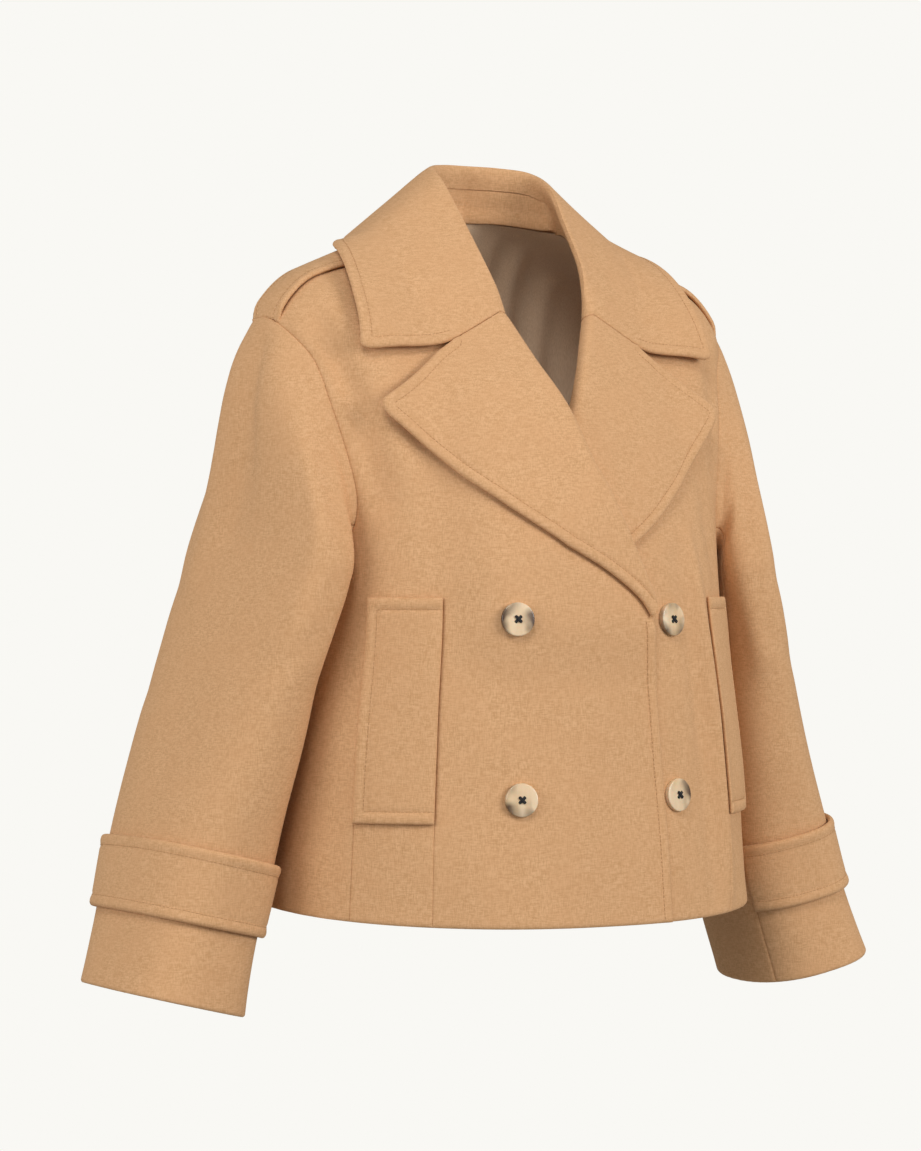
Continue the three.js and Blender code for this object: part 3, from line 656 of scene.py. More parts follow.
# A cloth piece at offsets from its middle surface, with its runs of stitches
def makeCloth(name, node, middle, normal, outerOff, half, sewn=(), reach=stitchOf["in"],
              slotName="wool"):
    outer = middle + normal * outerOff[..., None]
    for run in sewn:
        sewAlong(name, outer, normal, *run, reach)
    inner = middle - normal * half[..., None]
    piece = makeShell(name, outer, inner, {"wool": wool, "lining": satin}[slotName])
    declareCloth(piece, node)


# How far the right front stands off to lie over the left one
def lapLift(side, x, z):
    fade = ease((x - lapFade["from"]) / (lapFade["to"] - lapFade["from"]))
    return np.maximum(0, readRow(lapRows, "z", z)["lift"]) * fade * (side < 0)


def hemZ(angle):
    turned = np.cos(angle)
    return hem["side"] - np.where(turned > 0, hem["frontDrop"], -hem["backDrop"]) * turned


# Lengths around the body: of the front's three sections, of the back, and radii at the seams
panelOf = {"sections": (55, 65, 235), "back": 600, "sideRadius": 150, "pocketRadius": 170, "upperRows": 96,
           "firstRows": (0.0004, 0.0015, 0.004, 0.009), "pocketColumn": 30}
breakOf = {"inset": 2.5, "from": 4, "over": 40, "below": 6, "belowOver": 8, "puff": 3, "groove": 1.4}


# Rows of a body panel: by height up to the underarm, by share of the way above it
def panelRows():
    length = armhole["underZ"] - hem["side"]
    low = mix(hem["side"], armhole["underZ"], spaced(length, gridStep["panel"], end=False))
    evenly = np.linspace(0, 1, panelOf["upperRows"])[1:]
    upper = np.concatenate([panelOf["firstRows"], 1 - (1 - evenly) ** 1.5])
    lows = np.concatenate([low, np.full(len(upper), armhole["underZ"])])
    return lows[:, None], np.concatenate([np.zeros(len(low)), upper])[:, None]


def sideAngle(low, share):
    sideZ = mix(low, shoulderTipZ, share)
    gap = (seamGap / 2 / panelOf["sideRadius"]) ** (roundness / 2)
    return np.where(sideZ > armhole["underZ"], shareAngle(armholeShareAt(sideZ)), np.pi / 2 - gap), sideZ


def panelHeights(angle, lows, shares, top):
    blend = np.where(lows == hem["side"], 0, ease((lows - hem["side"]) / hem["blend"]))
    return np.where(shares > 0, mix(armhole["underZ"], top, shares), mix(hemZ(angle), lows, blend))


def handOf(side):
    return "right" if side < 0 else "left"


def frontAnchors(share, low, hand):
    edgeZ = mix(low, edgeRows["z"][-1], share)
    above = (edgeZ - lapelFoldFrom - breakOf["from"]) / breakOf["over"]
    inset = (lapelRoll + breakOf["inset"]) * ease(above)
    front = angleAt(readRow(edgeRows, "z", edgeZ)[hand] + inset, edgeZ)
    side, sideZ = sideAngle(low, share)
    blend = ease((sideZ - pocket["top"]) / (armhole["turn"] + 30))
    return (side, mix(shareAngle(pocket["outer"]), mix(side, front, 0.2), blend),
            mix(shareAngle(pocket["front"]), mix(side, front, 0.42), blend), front)


def frontGrid(hand):
    lows, shares = panelRows()
    anchors = frontAnchors(shares, lows, hand)
    nudge = seamLine / 2 / panelOf["pocketRadius"]
    angles, section = [], []
    for i, width in enumerate(panelOf["sections"]):
        span = spaced(width, gridStep["panel"])
        start = anchors[i] - (nudge if i > 0 else 0)
        end = anchors[i + 1] + (nudge if i < 2 else 0)
        angles.append(mix(start, end, span[None, :]))
        section += [i] * len(span)
    angle = np.concatenate(angles, axis=1)
    top = np.minimum(shoulderTop(signedPower(np.sin(angle), 2 / roundness)), 25)
    top[:, -1] = edgeRows["z"][-1]
    return angle, panelHeights(angle, lows, shares, top), np.array(section)


# Front and the panel behind its pocket, cut from one grid along the two seams below the pocket's top
def makeFront(side, word):
    hand = handOf(side)
    angle, z, section = frontGrid(hand)
    lift = lapLift(side, side * bodyAt(angle, z)[..., 0], z)
    middle = bodyPoint(angle, z, lift + melton / 2, side)
    normal = unit(bodyPoint(angle, z, lift + melton, side) - middle)
    pocketRow = int(np.argmin(np.abs(z[:, panelOf["pocketColumn"]] - pocket["top"])))
    panel = slice(int(np.sum(section == 0)), int(np.sum(section <= 1)))
    toHem = distanceTo(middle, middle[0, ::4])
    toFront = distanceTo(middle, middle[::2, -1])
    turned = np.minimum(toHem, toFront)
    seams = distanceTo(middle, middle[::2, 0], middle[-1, ::4], middle[:pocketRow:3, panel.start],
                       middle[:pocketRow:3, panel.stop])
    belowBreak = ease((lapelFoldFrom - breakOf["below"] - z) / breakOf["belowOver"])
    half = hemmed(turned)
    outerOff = half + belowBreak * dressed(toFront, puff=breakOf["puff"], groove=breakOf["groove"])
    outerOff = outerOff - drawnIn(seams, "panel") * clamp(turned / 2)
    outer = middle + normal * outerOff[..., None]
    inner = middle - normal * half[..., None]
    if side < 0:
        outer[-1, :, 1] -= seamGap
    name = f"front{word}"
    sewAlong(name, outer, normal, toFront, [toHem * 4], 1, True,
             keep=z < lapelFoldFrom - breakOf["belowOver"])
    isBelow = np.arange(len(z) - 1)[:, None] < pocketRow
    isGap = (section[:-1] != section[1:])[None, :]
    inPanel = (section[:-1] == 1)[None, :]
    front = makeShell(name, outer, inner, wool, ~(isBelow & (inPanel | isGap)))
    declareCloth(front, f"front_{hand}")
    behind = makeShell(f"pocketPanel{word}", outer, inner, wool, isBelow & inPanel & ~isGap)
    declareCloth(behind, f"pocket_panel_{hand}")


# Back: columns go from the right side seam to the left one
def backGrid():
    lows, shares = panelRows()
    side, _ = sideAngle(lows, shares)
    columns = spaced(panelOf["back"], gridStep["panel"])[None, :] * 2 - 1
    around = columns * (np.pi / 2 - (np.pi / 2 - side) * np.abs(columns) ** 1.2)
    top = settle(0, neckTopAt, signedPower(np.sin(around), 2 / roundness))
    return np.pi - around, panelHeights(np.pi - around, lows, shares, top)


def makeBack():
    angle, z = backGrid()
    middle = bodyPoint(angle, z, melton / 2)
    normal = unit(bodyPoint(angle, z, melton) - middle)
    toHem = distanceTo(middle, middle[0, ::4])
    seams = distanceTo(middle, middle[::2, 0], middle[::2, -1], middle[-1, ::3])
    half = hemmed(toHem)
    outerOff = half - drawnIn(seams, "panel") * clamp(toHem / 2)
    makeCloth("backPanel", "back", middle, normal, outerOff, half)


# Lining: soft vertical folds through points (x, z), made deeper by liningOf's folds
liningOf = {"from": -392, "off": 1, "half": 0.4, "folds": 2}
liningFolds = [
    foldAlong(9, 4, (-112, -60), (-104, -200), (-98, -400)),
    foldAlong(8, 3, (-78, -40), (-72, -200), (-66, -400)),
    foldAlong(9, 4.5, (-46, 0), (-48, -160), (-52, -400)),
    foldAlong(7, 3, (-22, 6), (-18, -160), (-16, -400)),
    foldAlong(9, 5, (6, 8), (2, -180), (-4, -400)),
    foldAlong(8, 3.5, (34, 4), (36, -170), (42, -400)),
    foldAlong(9, 5, (60, -6), (66, -190), (74, -400)),
    foldAlong(10, 4, (96, -40), (100, -220), (110, -400)),
]


def makeLining():
    angle, z = backGrid()
    rows = z[:, len(z[0]) // 2] >= liningOf["from"]
    angle, z = angle[rows], z[rows]
    x = bodyAt(angle, z)[..., 0]
    quiet = ease((shoulderZ(x) - z) / calmWithin["neck"])
    deep = liningOf["folds"] * quiet * foldHeight(liningFolds, x, z)
    middle = bodyPoint(angle, z, -liningOf["off"] - deep)
    normal = unit(bodyPoint(angle, z, 1 - liningOf["off"] - deep) - middle)
    half = np.full(z.shape, liningOf["half"])
    makeCloth("liningBack", "lining_back", middle, normal, half, half,
              slotName="lining")


# Lapel leaf: across from the fold to the outer edge, along from the break up to the peak
def lapelMiddle(side, along, across, half):
    edge = readRow(lapelEdge, "at", along)
    foldZ = mix(lapelFoldFrom, gorge["z"] - 3 * seamGap, along)
    roll = mix(0.5, 1, ease(along / 0.15)) * lapelRoll
    foldOut = readRow(edgeRows, "z", foldZ)[handOf(side)] - 1.5 * (1 - along) + roll
    flat = np.maximum(across, 0)
    bentAcross = np.where(flat < notchShare, flat / notchShare, (1 - flat) / (1 - notchShare))
    bend = bentAcross * along ** 6
    out = mix(foldOut, edge["out"], flat) + bend * (notch["out"] - mix(gorge["out"], peak["out"], notchShare))
    z = mix(foldZ, edge["z"], flat)
    z = z + bend * (notch["z"] - 3 * seamGap - mix(gorge["z"], peak["z"], notchShare))
    rise = lapelLift["fold"] * (1 - flat) ** 2 + lapelLift["peak"] * flat ** 3 * along ** 3
    lift = lapLift(side, side * out, z) + melton + layerGap + rise + half
    turn = np.clip(-across, 0, 1) * np.radians(172)
    angle = angleAt(out, z)
    point = bodyPoint(angle, z, lift - roll * (1 - np.cos(turn)), side)
    inward = unit(bodyPoint(angle - 0.02, z, lift, side) - bodyPoint(angle, z, lift, side))
    return point + inward * (roll * np.sin(turn))[..., None]


def makeLapel(side, word):
    half = turnedLeaf / 2
    along = spaced(300, gridStep["leaf"], start=False)[:, None]
    leaf = spaced(150, gridStep["leaf"], start=False)
    across = np.concatenate([-np.linspace(1, 0, 9)[:-1], leaf])[None, :]
    along, across = np.broadcast_arrays(along, across)
    a, b = roundedCorner((1 - along) * lapelSize["along"], (1 - across) * lapelSize["across"],
                         lapelSize["corner"])
    along, across = 1 - a / lapelSize["along"], np.where(across > 0, 1 - b / lapelSize["across"], across)
    middle = lapelMiddle(side, along, across, half)
    normal = gridNormals(middle, np.array([0, -1, 0.2]))
    notchColumn = int(np.argmin(np.abs(across[-1] - notchShare)))
    toOuter = distanceTo(middle, middle[::2, -1])
    toTop = distanceTo(middle, middle[-1, notchColumn:])
    toGorge = distanceTo(middle, middle[-1, :notchColumn + 1])
    free = np.minimum(toOuter, toTop)
    half = half * roundOver(free, half * edgeRound["lapel"])
    outerOff = half + dressed(free) - drawnIn(toGorge, "gorge") * clamp(free / 3)
    makeCloth(f"lapelFacing{word}", f"lapel_facing_{handOf(side)}", middle, normal, outerOff, half,
              [(toOuter, [toTop], 1, True), (toTop, [toOuter], 0, True)])


# Top of the body at a place in plan, for what lies on the shoulders
def bodyTopZ(x, y):
    isFront = y < shoulderY
    low = np.full(np.shape(x), -280.0)
    high = shoulderZ(x) + 0.0 * y
    for _ in range(22):
        z = (low + high) / 2
        around = angleAt(x, z)
        surface = bodyAt(np.where(isFront, around, np.pi - around), z)[..., 1]
        beyond = (np.abs(x) > armhole["share"] * readRow(bodyRows, "z", z)["side"]) & (z < shoulderTipZ + 60)
        up = beyond | np.where(isFront, surface < y, surface > y)
        low = np.where(up, z, low)
        high = np.where(up, high, z)
    return (low + high) / 2


def clearOfBody(point, clear):
    step = 2
    x, y = point[..., 0], point[..., 1]
    slopeX = (bodyTopZ(x + step, y) - bodyTopZ(x - step, y)) / (2 * step)
    slopeY = (bodyTopZ(x, y + step) - bodyTopZ(x, y - step)) / (2 * step)
    normal = unit(joined(-slopeX, -slopeY, 1))
    distance = (point[..., 2] - bodyTopZ(x, y)) * normal[..., 2]
    return point + normal * np.maximum(0, clear - distance)[..., None]


def collarStation(at):
    row = readRow(collarRows, "at", at)
    neckRow = readRow(neckRows, "at", at)
    fold = joined(row["foldOut"], row["foldY"], row["foldZ"])
    edge = joined(row["edgeOut"], row["edgeY"], row["edgeZ"])
    around = angleAt(neckRow["out"], neckRow["z"])
    z = np.minimum(neckRow["z"], shoulderZ(neckRow["out"]))
    angle = np.where(at <= 4, around, np.pi - around)
    neck = bodyAt(angle, z) + bodyNormal(angle, z) * 1.2
    return fold, edge, neck


# A smooth curve through points whose steps differ, read at a share of the way
def curveThrough(points, share):
    points = [2 * points[0] - points[1], *points, 2 * points[-1] - points[-2]]
    stack = np.stack(points, -2)
    place = np.clip(share, 0, 1) * (len(points) - 3)
    i = np.clip(np.floor(place).astype(int), 0, len(points) - 4)
    t = (place - i)[..., None]
    p = [np.take_along_axis(stack, (i + k)[..., None, None], axis=-2)[..., 0, :] for k in range(4)]
    d = [np.maximum(np.linalg.norm(p[k + 1] - p[k], axis=-1, keepdims=True) ** 0.5, 1e-3) for k in range(3)]
    m = ((p[1] - p[0]) / d[0] - (p[2] - p[0]) / (d[0] + d[1]) + (p[2] - p[1]) / d[1]) * d[1]
    n = ((p[2] - p[1]) / d[1] - (p[3] - p[1]) / (d[1] + d[2]) + (p[3] - p[2]) / d[2]) * d[1]
    return (p[1] + m * t + (3 * (p[2] - p[1]) - 2 * m - n) * t ** 2 + (2 * (p[1] - p[2]) + m + n) * t ** 3)


def collarMiddle(at, across):
    fold, edge, neck = collarStation(at)
    outward = edge - fold
    outward[..., 2] = 0
    outward = unit(outward)
    down = unit(neck - fold)
    leg = np.clip(np.linalg.norm(fold - neck, axis=-1) * 0.4, 4, collarOf["inside"])
    settled = clamp(at / 1.5)
    radius = collarOf["fold"] * (0.55 + 0.45 * settled)
    seam = fold + down * leg[..., None]
    shoulderIn = fold + (outward * -0.3 + down) * radius[..., None]
    shoulderOut = fold + outward * (radius * 1.5)[..., None]
    shoulderOut[..., 2] -= radius * 0.75
    middle = (fold + edge) / 2 + outward * (collarOf["bulge"] * 0.4 * settled)[..., None]
    middle[..., 2] += collarOf["bulge"] * settled
    bentX, bentZ = notch["out"] + 8.0, notch["z"] - 0.5
    angle = angleAt(bentX, bentZ)
    bentY = (bodyAt(angle, bentZ) + bodyNormal(angle, bentZ) * (melton + layerGap + 3))[..., 1]
    middle = mix(middle, joined(bentX, bentY, bentZ), (1 - clamp(at))[..., None])
    point = curveThrough([seam, shoulderIn, fold, shoulderOut, middle, edge], across)
    laid = clamp((across - 0.5) / 0.35)
    clear = mix(collarOf["clear"], collarOf["backClear"], ease((at - 4) / 1.2))
    cleared = clearOfBody(point, mix(2, clear, laid))
    return mix(point, cleared, ease(laid * 3)[..., None])


# Both halves of a piece that runs round the neck, from its right end to its left one
def bothHalves(right, left):
    return np.concatenate([right * np.array([-1, 1, 1]), left[-2::-1]], axis=0)


def shareAlong(line):
    lengths = np.concatenate([[0], np.cumsum(np.linalg.norm(np.diff(line, axis=0), axis=1))])
    return lengths / lengths[-1]


# Brings the collar's end to the lapel's top edge from under the roll to the notch, where the
# two are sewn together, and lets the change die away round the neck
def joinGorge(half, at, across, side):
    lapelAcross = np.concatenate([np.linspace(-1, -0.5, 6), np.linspace(-0.5, 0, 6)[1:],
                                  np.linspace(0, notchShare, 24)[1:]])
    line = lapelMiddle(side, np.ones(len(lapelAcross)), lapelAcross, turnedLeaf / 2)
    line = line * np.array([side, 1, 1]) + np.array([0, 0, 2 * seamGap])
    foldAt = 0.4
    pairs = ((across[0] <= foldAt, lapelAcross <= -0.5),
             ((across[0] >= foldAt) & (across[0] <= collarOf["notchAt"]), lapelAcross >= -0.5))
    change = np.zeros((len(across[0]), 3))
    for here, there in pairs:
        shares, lapelShares = shareAlong(half[0, here]), shareAlong(line[there])
        target = [np.interp(shares, lapelShares, line[there][:, k]) for k in range(3)]
        change[here] = np.stack(target, -1) - half[0, here]
    last = np.nonzero(across[0] <= collarOf["notchAt"])[0][-1]
    dying = 1 - ease((across[0] - across[0, last]) / (1 - across[0, last]))
    change = np.where((across[0] > across[0, last])[:, None], change[last] * dying[:, None], change)
    return half + change * (1 - ease((at - collarOf["from"]) / 2))[..., None]


def makeCollar():
    at = mix(collarOf["from"], 7, spaced(270, gridStep["leaf"], end=False))[:, None]
    across = np.unique(np.concatenate([
        np.linspace(0, 0.2, 6), np.linspace(0.2, 0.4, 5), np.linspace(0.4, 0.6, 6),
        np.linspace(0.6, 0.8, 18), np.linspace(0.8, 1, 22),
        [1 - n / collarOf["across"] for n in edgeSteps]]))[None, :]
    at, across = np.broadcast_arrays(at, across)
    a, b = roundedCorner((at - collarOf["from"]) * collarOf["row"], (1 - across) * collarOf["across"],
                         collarOf["corner"])
    at, across = collarOf["from"] + a / collarOf["row"], 1 - b / collarOf["across"]
    half = collarMiddle(at, across)
    half[-1, :, 0] = 0
    halves = [joinGorge(half, at, across, side) for side in (-1, 1)]
    normals = [gridNormals(each, np.array([0.3, 0, 1])) for each in halves]
    for each in normals:
        each[-1, :, 0] = 0
    middle, normal = bothHalves(*halves), unit(bothHalves(*normals))
    notchColumn = int(np.argmin(np.abs(across[0] - collarOf["notchAt"])))
    toOuter = distanceTo(middle, middle[::2, -1])
    toEnds = distanceTo(middle, middle[0, notchColumn:], middle[-1, notchColumn:])
    toGorge = distanceTo(middle, middle[0, :notchColumn + 1], middle[-1, :notchColumn + 1])
    free = np.minimum(toOuter, toEnds)
    thick = turnedLeaf / 2 * roundOver(free, turnedLeaf / 2 * edgeRound["collar"])
    outerOff = thick + dressed(free) - drawnIn(toGorge, "gorge") * clamp(free / 3)
    sewn = [(toOuter, [toEnds], 1, True), (toEnds, [toOuter], 0, False), (toEnds, [toOuter], 0, True)]
    makeCloth("collarLeaf", "collar", middle, normal, outerOff, thick, sewn)


# The stand: from the neck seam up to the seam inside the collar
def makeStand():
    at = mix(standOf["from"], 7, np.linspace(0, 1, 80))[:, None]
    up = mix(standOf["foot"], 1, spaced(28, 2.5))[None, :]
    at, up = np.broadcast_arrays(at, up)
    fold, _, neck = collarStation(at)
    leg = np.clip(np.linalg.norm(fold - neck, axis=-1) * 0.4, 4, collarOf["inside"])
    top = fold + unit(neck - fold) * (leg + seamGap)[..., None]
    half = neck + (top - neck) * up[..., None]
    inward = neck * np.array([-1, -1, 0]) + np.array([0, shoulderY, 0])
    half = half + unit(inward) * (standOf["in"] * ease((at - 3.8) / 1.6) * (1 - ease(up / 0.5)))[..., None]
    half[-1, :, 0] = 0
    middle = bothHalves(half, half)
    halfNormal = gridNormals(half, np.array([0.6, 0.6, 0]))
    halfNormal[-1, :, 0] = 0
    normal = unit(bothHalves(halfNormal, halfNormal))
    seams = distanceTo(middle, middle[::2, 0], middle[::2, -1])
    half = standOf["half"] - drawnIn(seams, "stand")
    makeCloth("collarStand", "collar_stand", middle, normal, half, half)


# Armhole seam: angle 0 at the shoulder, 90 at the front, 180 at the underarm, 270 at the back
def armholePoint(angle, off=melton, setOff=armhole["setOff"]):
    turn = np.radians(angle)
    z = mix(armhole["underZ"], shoulderTipZ, (1 + np.cos(turn)) / 2)
    fore = shareAngle(armholeShareAt(z))
    around = np.where(np.sin(turn) >= 0, fore, np.pi - fore)
    point = bodyAt(around, z) + bodyNormal(around, z) * off
    isTop = (np.abs(np.sin(turn)) < 0.001) & (np.cos(turn) > 0)
    point[..., 1] = np.where(isTop, shoulderY, point[..., 1])
    point[..., 0] += mix(setOff, seamGap, (1 + np.cos(turn)) / 2)
    return point


# Ring of the sleeve at a height of its centre line
def armRing(z, angle):
    row = readRow(armRows, "z", z)
    turn, yaw, tilt = np.radians(angle), np.radians(row["yaw"]), np.radians(row["tilt"])
    outward = joined(np.cos(tilt) * np.cos(yaw), -np.cos(tilt) * np.sin(yaw), np.sin(tilt))
    forward = unit(joined(-np.sin(yaw), -np.cos(yaw), row["rise"]))
    reach = (row["across"] * signedPower(np.cos(turn), 2 / armRoundness))[..., None]
    along = (row["along"] * signedPower(np.sin(turn), 2 / armRoundness))[..., None]
    return joined(row["out"], row["y"], z) + outward * reach + forward * along


# Outer face of the sleeve: down is 0 to 1 over the cap and 1 to 2 from underarm to hem
def sleeveAt(angle, down):
    arm = armRing(mix(armTop, armHem, np.clip(down - 1, 0, 1)), angle)
    start = armholePoint(angle)
    end = armRing(armTop + 0 * down, angle)
    reach = np.linalg.norm(start - end, axis=-1, keepdims=True) * capPull
    outShare = (1 + np.cos(np.radians(angle))) / 2
    leave = unit(joined(mix(0.9, 0.55, outShare), 0, -mix(0.6, 0.84, outShare)))
    arrive = unit(armRing(armTop - 12 + 0 * down, angle) - end)
    t = np.clip(down, 0, 1)[..., None]
    u = 1 - t
    cap = start * u * u * (1 + 2 * t) + leave * t * u * u * reach
    cap = cap + end * t * t * (1 + 2 * u) - arrive * t * t * u * reach
    return np.where((down >= 1)[..., None], arm, cap)


# Folds of the sleeves: each runs through points (angle, millimetres down from the armhole)
sleeveFolds = [
    foldAlong(10, -7.5, (14, 16), (3, 70), (-8, 165)),
    foldAlong(14, 4, (-20, 18), (-26, 90), (-30, 200)),
    foldAlong(20, 8, (106, 40), (120, 110), (118, 190), (104, 260)),
    foldAlong(18, 2, (52, 60), (62, 150), (60, 250)),
    foldAlong(13, -1.2, (88, 150), (70, 190), (40, 214)),
    foldAlong(13, -1.2, (104, 230), (78, 262), (46, 280)),
    foldAlong(14, -1.2, (-96, 160), (-62, 205), (-30, 226)),
    foldAlong(14, -1, (-100, 250), (-70, 292), (-38, 306)),
    foldAlong(20, 1.8, (-60, 300), (-52, 380), (-50, 470)),
    foldAlong(24, 1.5, (20, 260), (24, 360), (18, 470)),
    foldAlong(14, -3, (172, 190), (186, 230), (204, 250)),
    foldAlong(14, -2.4, (168, 300), (184, 330), (206, 344)),
]
millimetresPerDegree = 1.2
capLength = 190


def sleeveDown(down):
    return np.where(down < 1, down * capLength, capLength + (down - 1) * (armTop - armHem))


def sleeveMiddle(side, angle, down, off):
    point = sleeveAt(angle, down)
    turn, step = 1.5, 0.01
    along = sleeveAt(angle + turn, down) - sleeveAt(angle - turn, down)
    low = np.maximum(0.002, down - step)
    across = sleeveAt(angle, np.minimum(2, down + step)) - sleeveAt(angle, low)
    normal = unit(np.cross(along, across))
    length = sleeveDown(down)
    scaled = [{**each, "run": [(a * millimetresPerDegree, d) for a, d in each["run"]]}
              for each in sleeveFolds]
    height = foldHeight(scaled, angle * millimetresPerDegree, length)
    height = height + unevenness(point[..., 0] + 200 * side, point[..., 1], point[..., 2])
    height = height * ease(length / calmWithin["sleeveHead"])
    point = point + normal * (off + height)[..., None]
    flip = np.array([side, 1, 1])
    return point * flip, normal * flip


def armShare(z):
    return 1 + (z - armTop) / (armHem - armTop)


def makeSleevePiece(name, node, side, start, end):
    around = spaced((end - start) * millimetresPerDegree, gridStep["panel"])
    angles = mix(start + 0.02, end - 0.02, around)[None, :]
    cap = mix(capTuck["start"], 1, spaced(capLength, gridStep["panel"], end=False))[:-1]
    arm = 1 + spaced(armTop - armHem, gridStep["panel"], start=False)
    angles, down = np.broadcast_arrays(angles, np.concatenate([cap, arm])[:, None])
    middle, normal = sleeveMiddle(side, angles, down, -melton / 2)
    turnedIn = armholePoint(angles[:1], capTuck["off"], 0) * np.array([side, 1, 1])
    allowance = [mix(turnedIn, middle[:1], t) for t in capTuck["shares"]]
    middle = np.concatenate([*allowance, middle])
    normal = gridNormals(middle, np.concatenate([normal[:1]] * len(allowance) + [normal]))
    toHem = distanceTo(middle, middle[-1, ::2])
    seams = distanceTo(middle, middle[::2, 0], middle[::2, -1])
    half = hemmed(toHem)
    outerOff = half - drawnIn(seams, "sleeve") * clamp(toHem / 2)
    outerOff = outerOff - drawnIn(distanceTo(middle, middle[0, ::2]), "armhole")
    makeCloth(name, node, middle, normal, outerOff, half)


def makeCuffStrap(side, word):
    angles = mix(hindSeamAngle + 1, frontSeamAngle - 1, spaced(300, gridStep["leaf"]))[None, :]
    down = mix(armShare(strap["top"]), armShare(strap["bottom"]), spaced(62, gridStep["leaf"]))[:, None]
    angles, down = np.broadcast_arrays(angles, down)
    half = strap["thick"] / 2
    middle, normal = sleeveMiddle(side, angles, down, strap["off"] + half)
    toTop = distanceTo(middle, middle[0, ::2])
    toFoot = distanceTo(middle, middle[-1, ::2])
    toEnds = distanceTo(middle, middle[:, 0], middle[:, -1])
    free = np.minimum(toTop, toFoot)
    thick = half * roundOver(np.minimum(free, toEnds), half * edgeRound["strap"])
    outerOff = thick + dressed(free) * clamp(toEnds / 3)
    makeCloth(f"cuffStrap{word}", f"cuff_strap_{handOf(side)}", middle, normal, outerOff, thick,
              [(toTop, [toEnds * 3], 0, False), (toFoot, [toEnds * 3], 0, True)])


def makeSleeve(side, word):
    hand = handOf(side)
    makeSleevePiece(f"topSleeve{word}", f"top_sleeve_{hand}", side, hindSeamAngle, frontSeamAngle)
    makeSleevePiece(f"underSleeve{word}", f"under_sleeve_{hand}", side, frontSeamAngle, 360 + hindSeamAngle)
    makeCuffStrap(side, word)


# Shoulder strap, from the armhole seam in under the collar
def makeEpaulette(side, word):
    outer = epaulette["outer"] + epaulette["past"]
    outs = mix(outer, epaulette["inner"], spaced(95, gridStep["leaf"]))[:, None]
    depths = mix(epaulette["front"], epaulette["back"], spaced(48, gridStep["leaf"]))[None, :]
    x, y = np.broadcast_arrays(outs, depths)
    half = epaulette["thick"] / 2
    base = joined(x, y, bodyTopZ(x, y) - 1)
    tucked = epaulette["tucked"] * (1 - ease((outer - x) / epaulette["tuckLong"]))
    middle = clearOfBody(base, melton + epaulette["off"] + half - tucked) * np.array([side, 1, 1])
    normal = gridNormals(middle, np.array([0, 0, 1]))
    edges = distanceTo(middle, middle[:, 0], middle[:, -1])
    ends = distanceTo(middle, middle[0], middle[-1])
    reach = stitchOf["in"] * epaulette["stitchShare"]
    thick = half * roundOver(np.minimum(edges, ends), half * edgeRound["epaulette"])
    outerOff = thick + dressed(edges, reach) * clamp(ends / 3)
    makeCloth(f"epaulette{word}", f"epaulette_{handOf(side)}", middle, normal, outerOff, thick,
              [(edges, [ends * 3], 1, False), (edges, [ends * 3], 1, True)], reach)


# Pocket welt over its panel, sewn down at the top, the outer edge and the foot
def makeWelt(side, word):
    share = mix(pocket["outer"], pocket["front"], spaced(65, gridStep["leaf"]))[None, :]
    z = mix(pocket["bottom"], pocket["top"], spaced(190, gridStep["leaf"]))[:, None]
    share, z = np.broadcast_arrays(share, z)
    angle = shareAngle(share)
    half = pocket["thick"] / 2
    lift = melton + layerGap + lapLift(side, side * bodyAt(angle, z)[..., 0], z) + half
    middle = bodyPoint(angle, z, lift, side)
    normal = unit(bodyPoint(angle, z, lift + 1, side) - middle)
    toOuter = distanceTo(middle, middle[:, 0])
    toFront = distanceTo(middle, middle[:, -1])
    toTop = distanceTo(middle, middle[-1])
    toFoot = distanceTo(middle, middle[0])
    free = np.minimum(np.minimum(toOuter, toTop), toFoot)
    thick = half * roundOver(np.minimum(free, toFront), half * edgeRound["welt"])
    reach = stitchOf["in"] + pocket["stitchMore"]
    outerOff = thick + dressed(free, reach) * clamp(toFront / 2)
    tucked = pocket["tucked"] * (1 - ease(toFront / pocket["tuckWide"]))
    middle = middle - normal * tucked[..., None]
    sewn = [(toOuter, [toTop, toFoot], 1, False), (toTop, [toOuter], 0, True), (toFoot, [toOuter], 0, False)]
    makeCloth(f"pocketWelt{word}", f"pocket_welt_{handOf(side)}", middle, normal, outerOff, thick,
              sewn, reach)


print("making the cloth")
makeBack()
makeLining()
for side, word in ((-1, "Right"), (1, "Left")):
    makeFront(side, word)
    makeLapel(side, word)
    makeSleeve(side, word)
    makeEpaulette(side, word)
    makeWelt(side, word)
makeCollar()
makeStand()
print("cloth made")

# Four-hole button: sizes in millimetres, and where the smoke begins as a share of the radius
buttonOf = {"dishRadius": 9.6, "dishDeep": 1.3, "dishSlope": 1, "dishRing": 2.2, "rimRound": 1.1,
            "holeRadius": 1.3, "holeOut": 2.8, "turn": 45, "smokeFrom": 0.55, "smokeOver": 0.3,
            "smokeLeast": 0.3}
threadOf = {"radius": 0.75, "long": 7.4, "apart": 0.6, "endRound": 0.5, "up": 0.25, "crossedUp": 0.5}


def deselectAll():
    if bpy.context.object and bpy.context.object.mode != "OBJECT":
        bpy.ops.object.mode_set(mode="OBJECT")
    bpy.ops.object.select_all(action="DESELECT")


def applyModifier(piece, name):
    bpy.context.view_layer.objects.active = piece
    bpy.ops.object.modifier_apply(modifier=name)


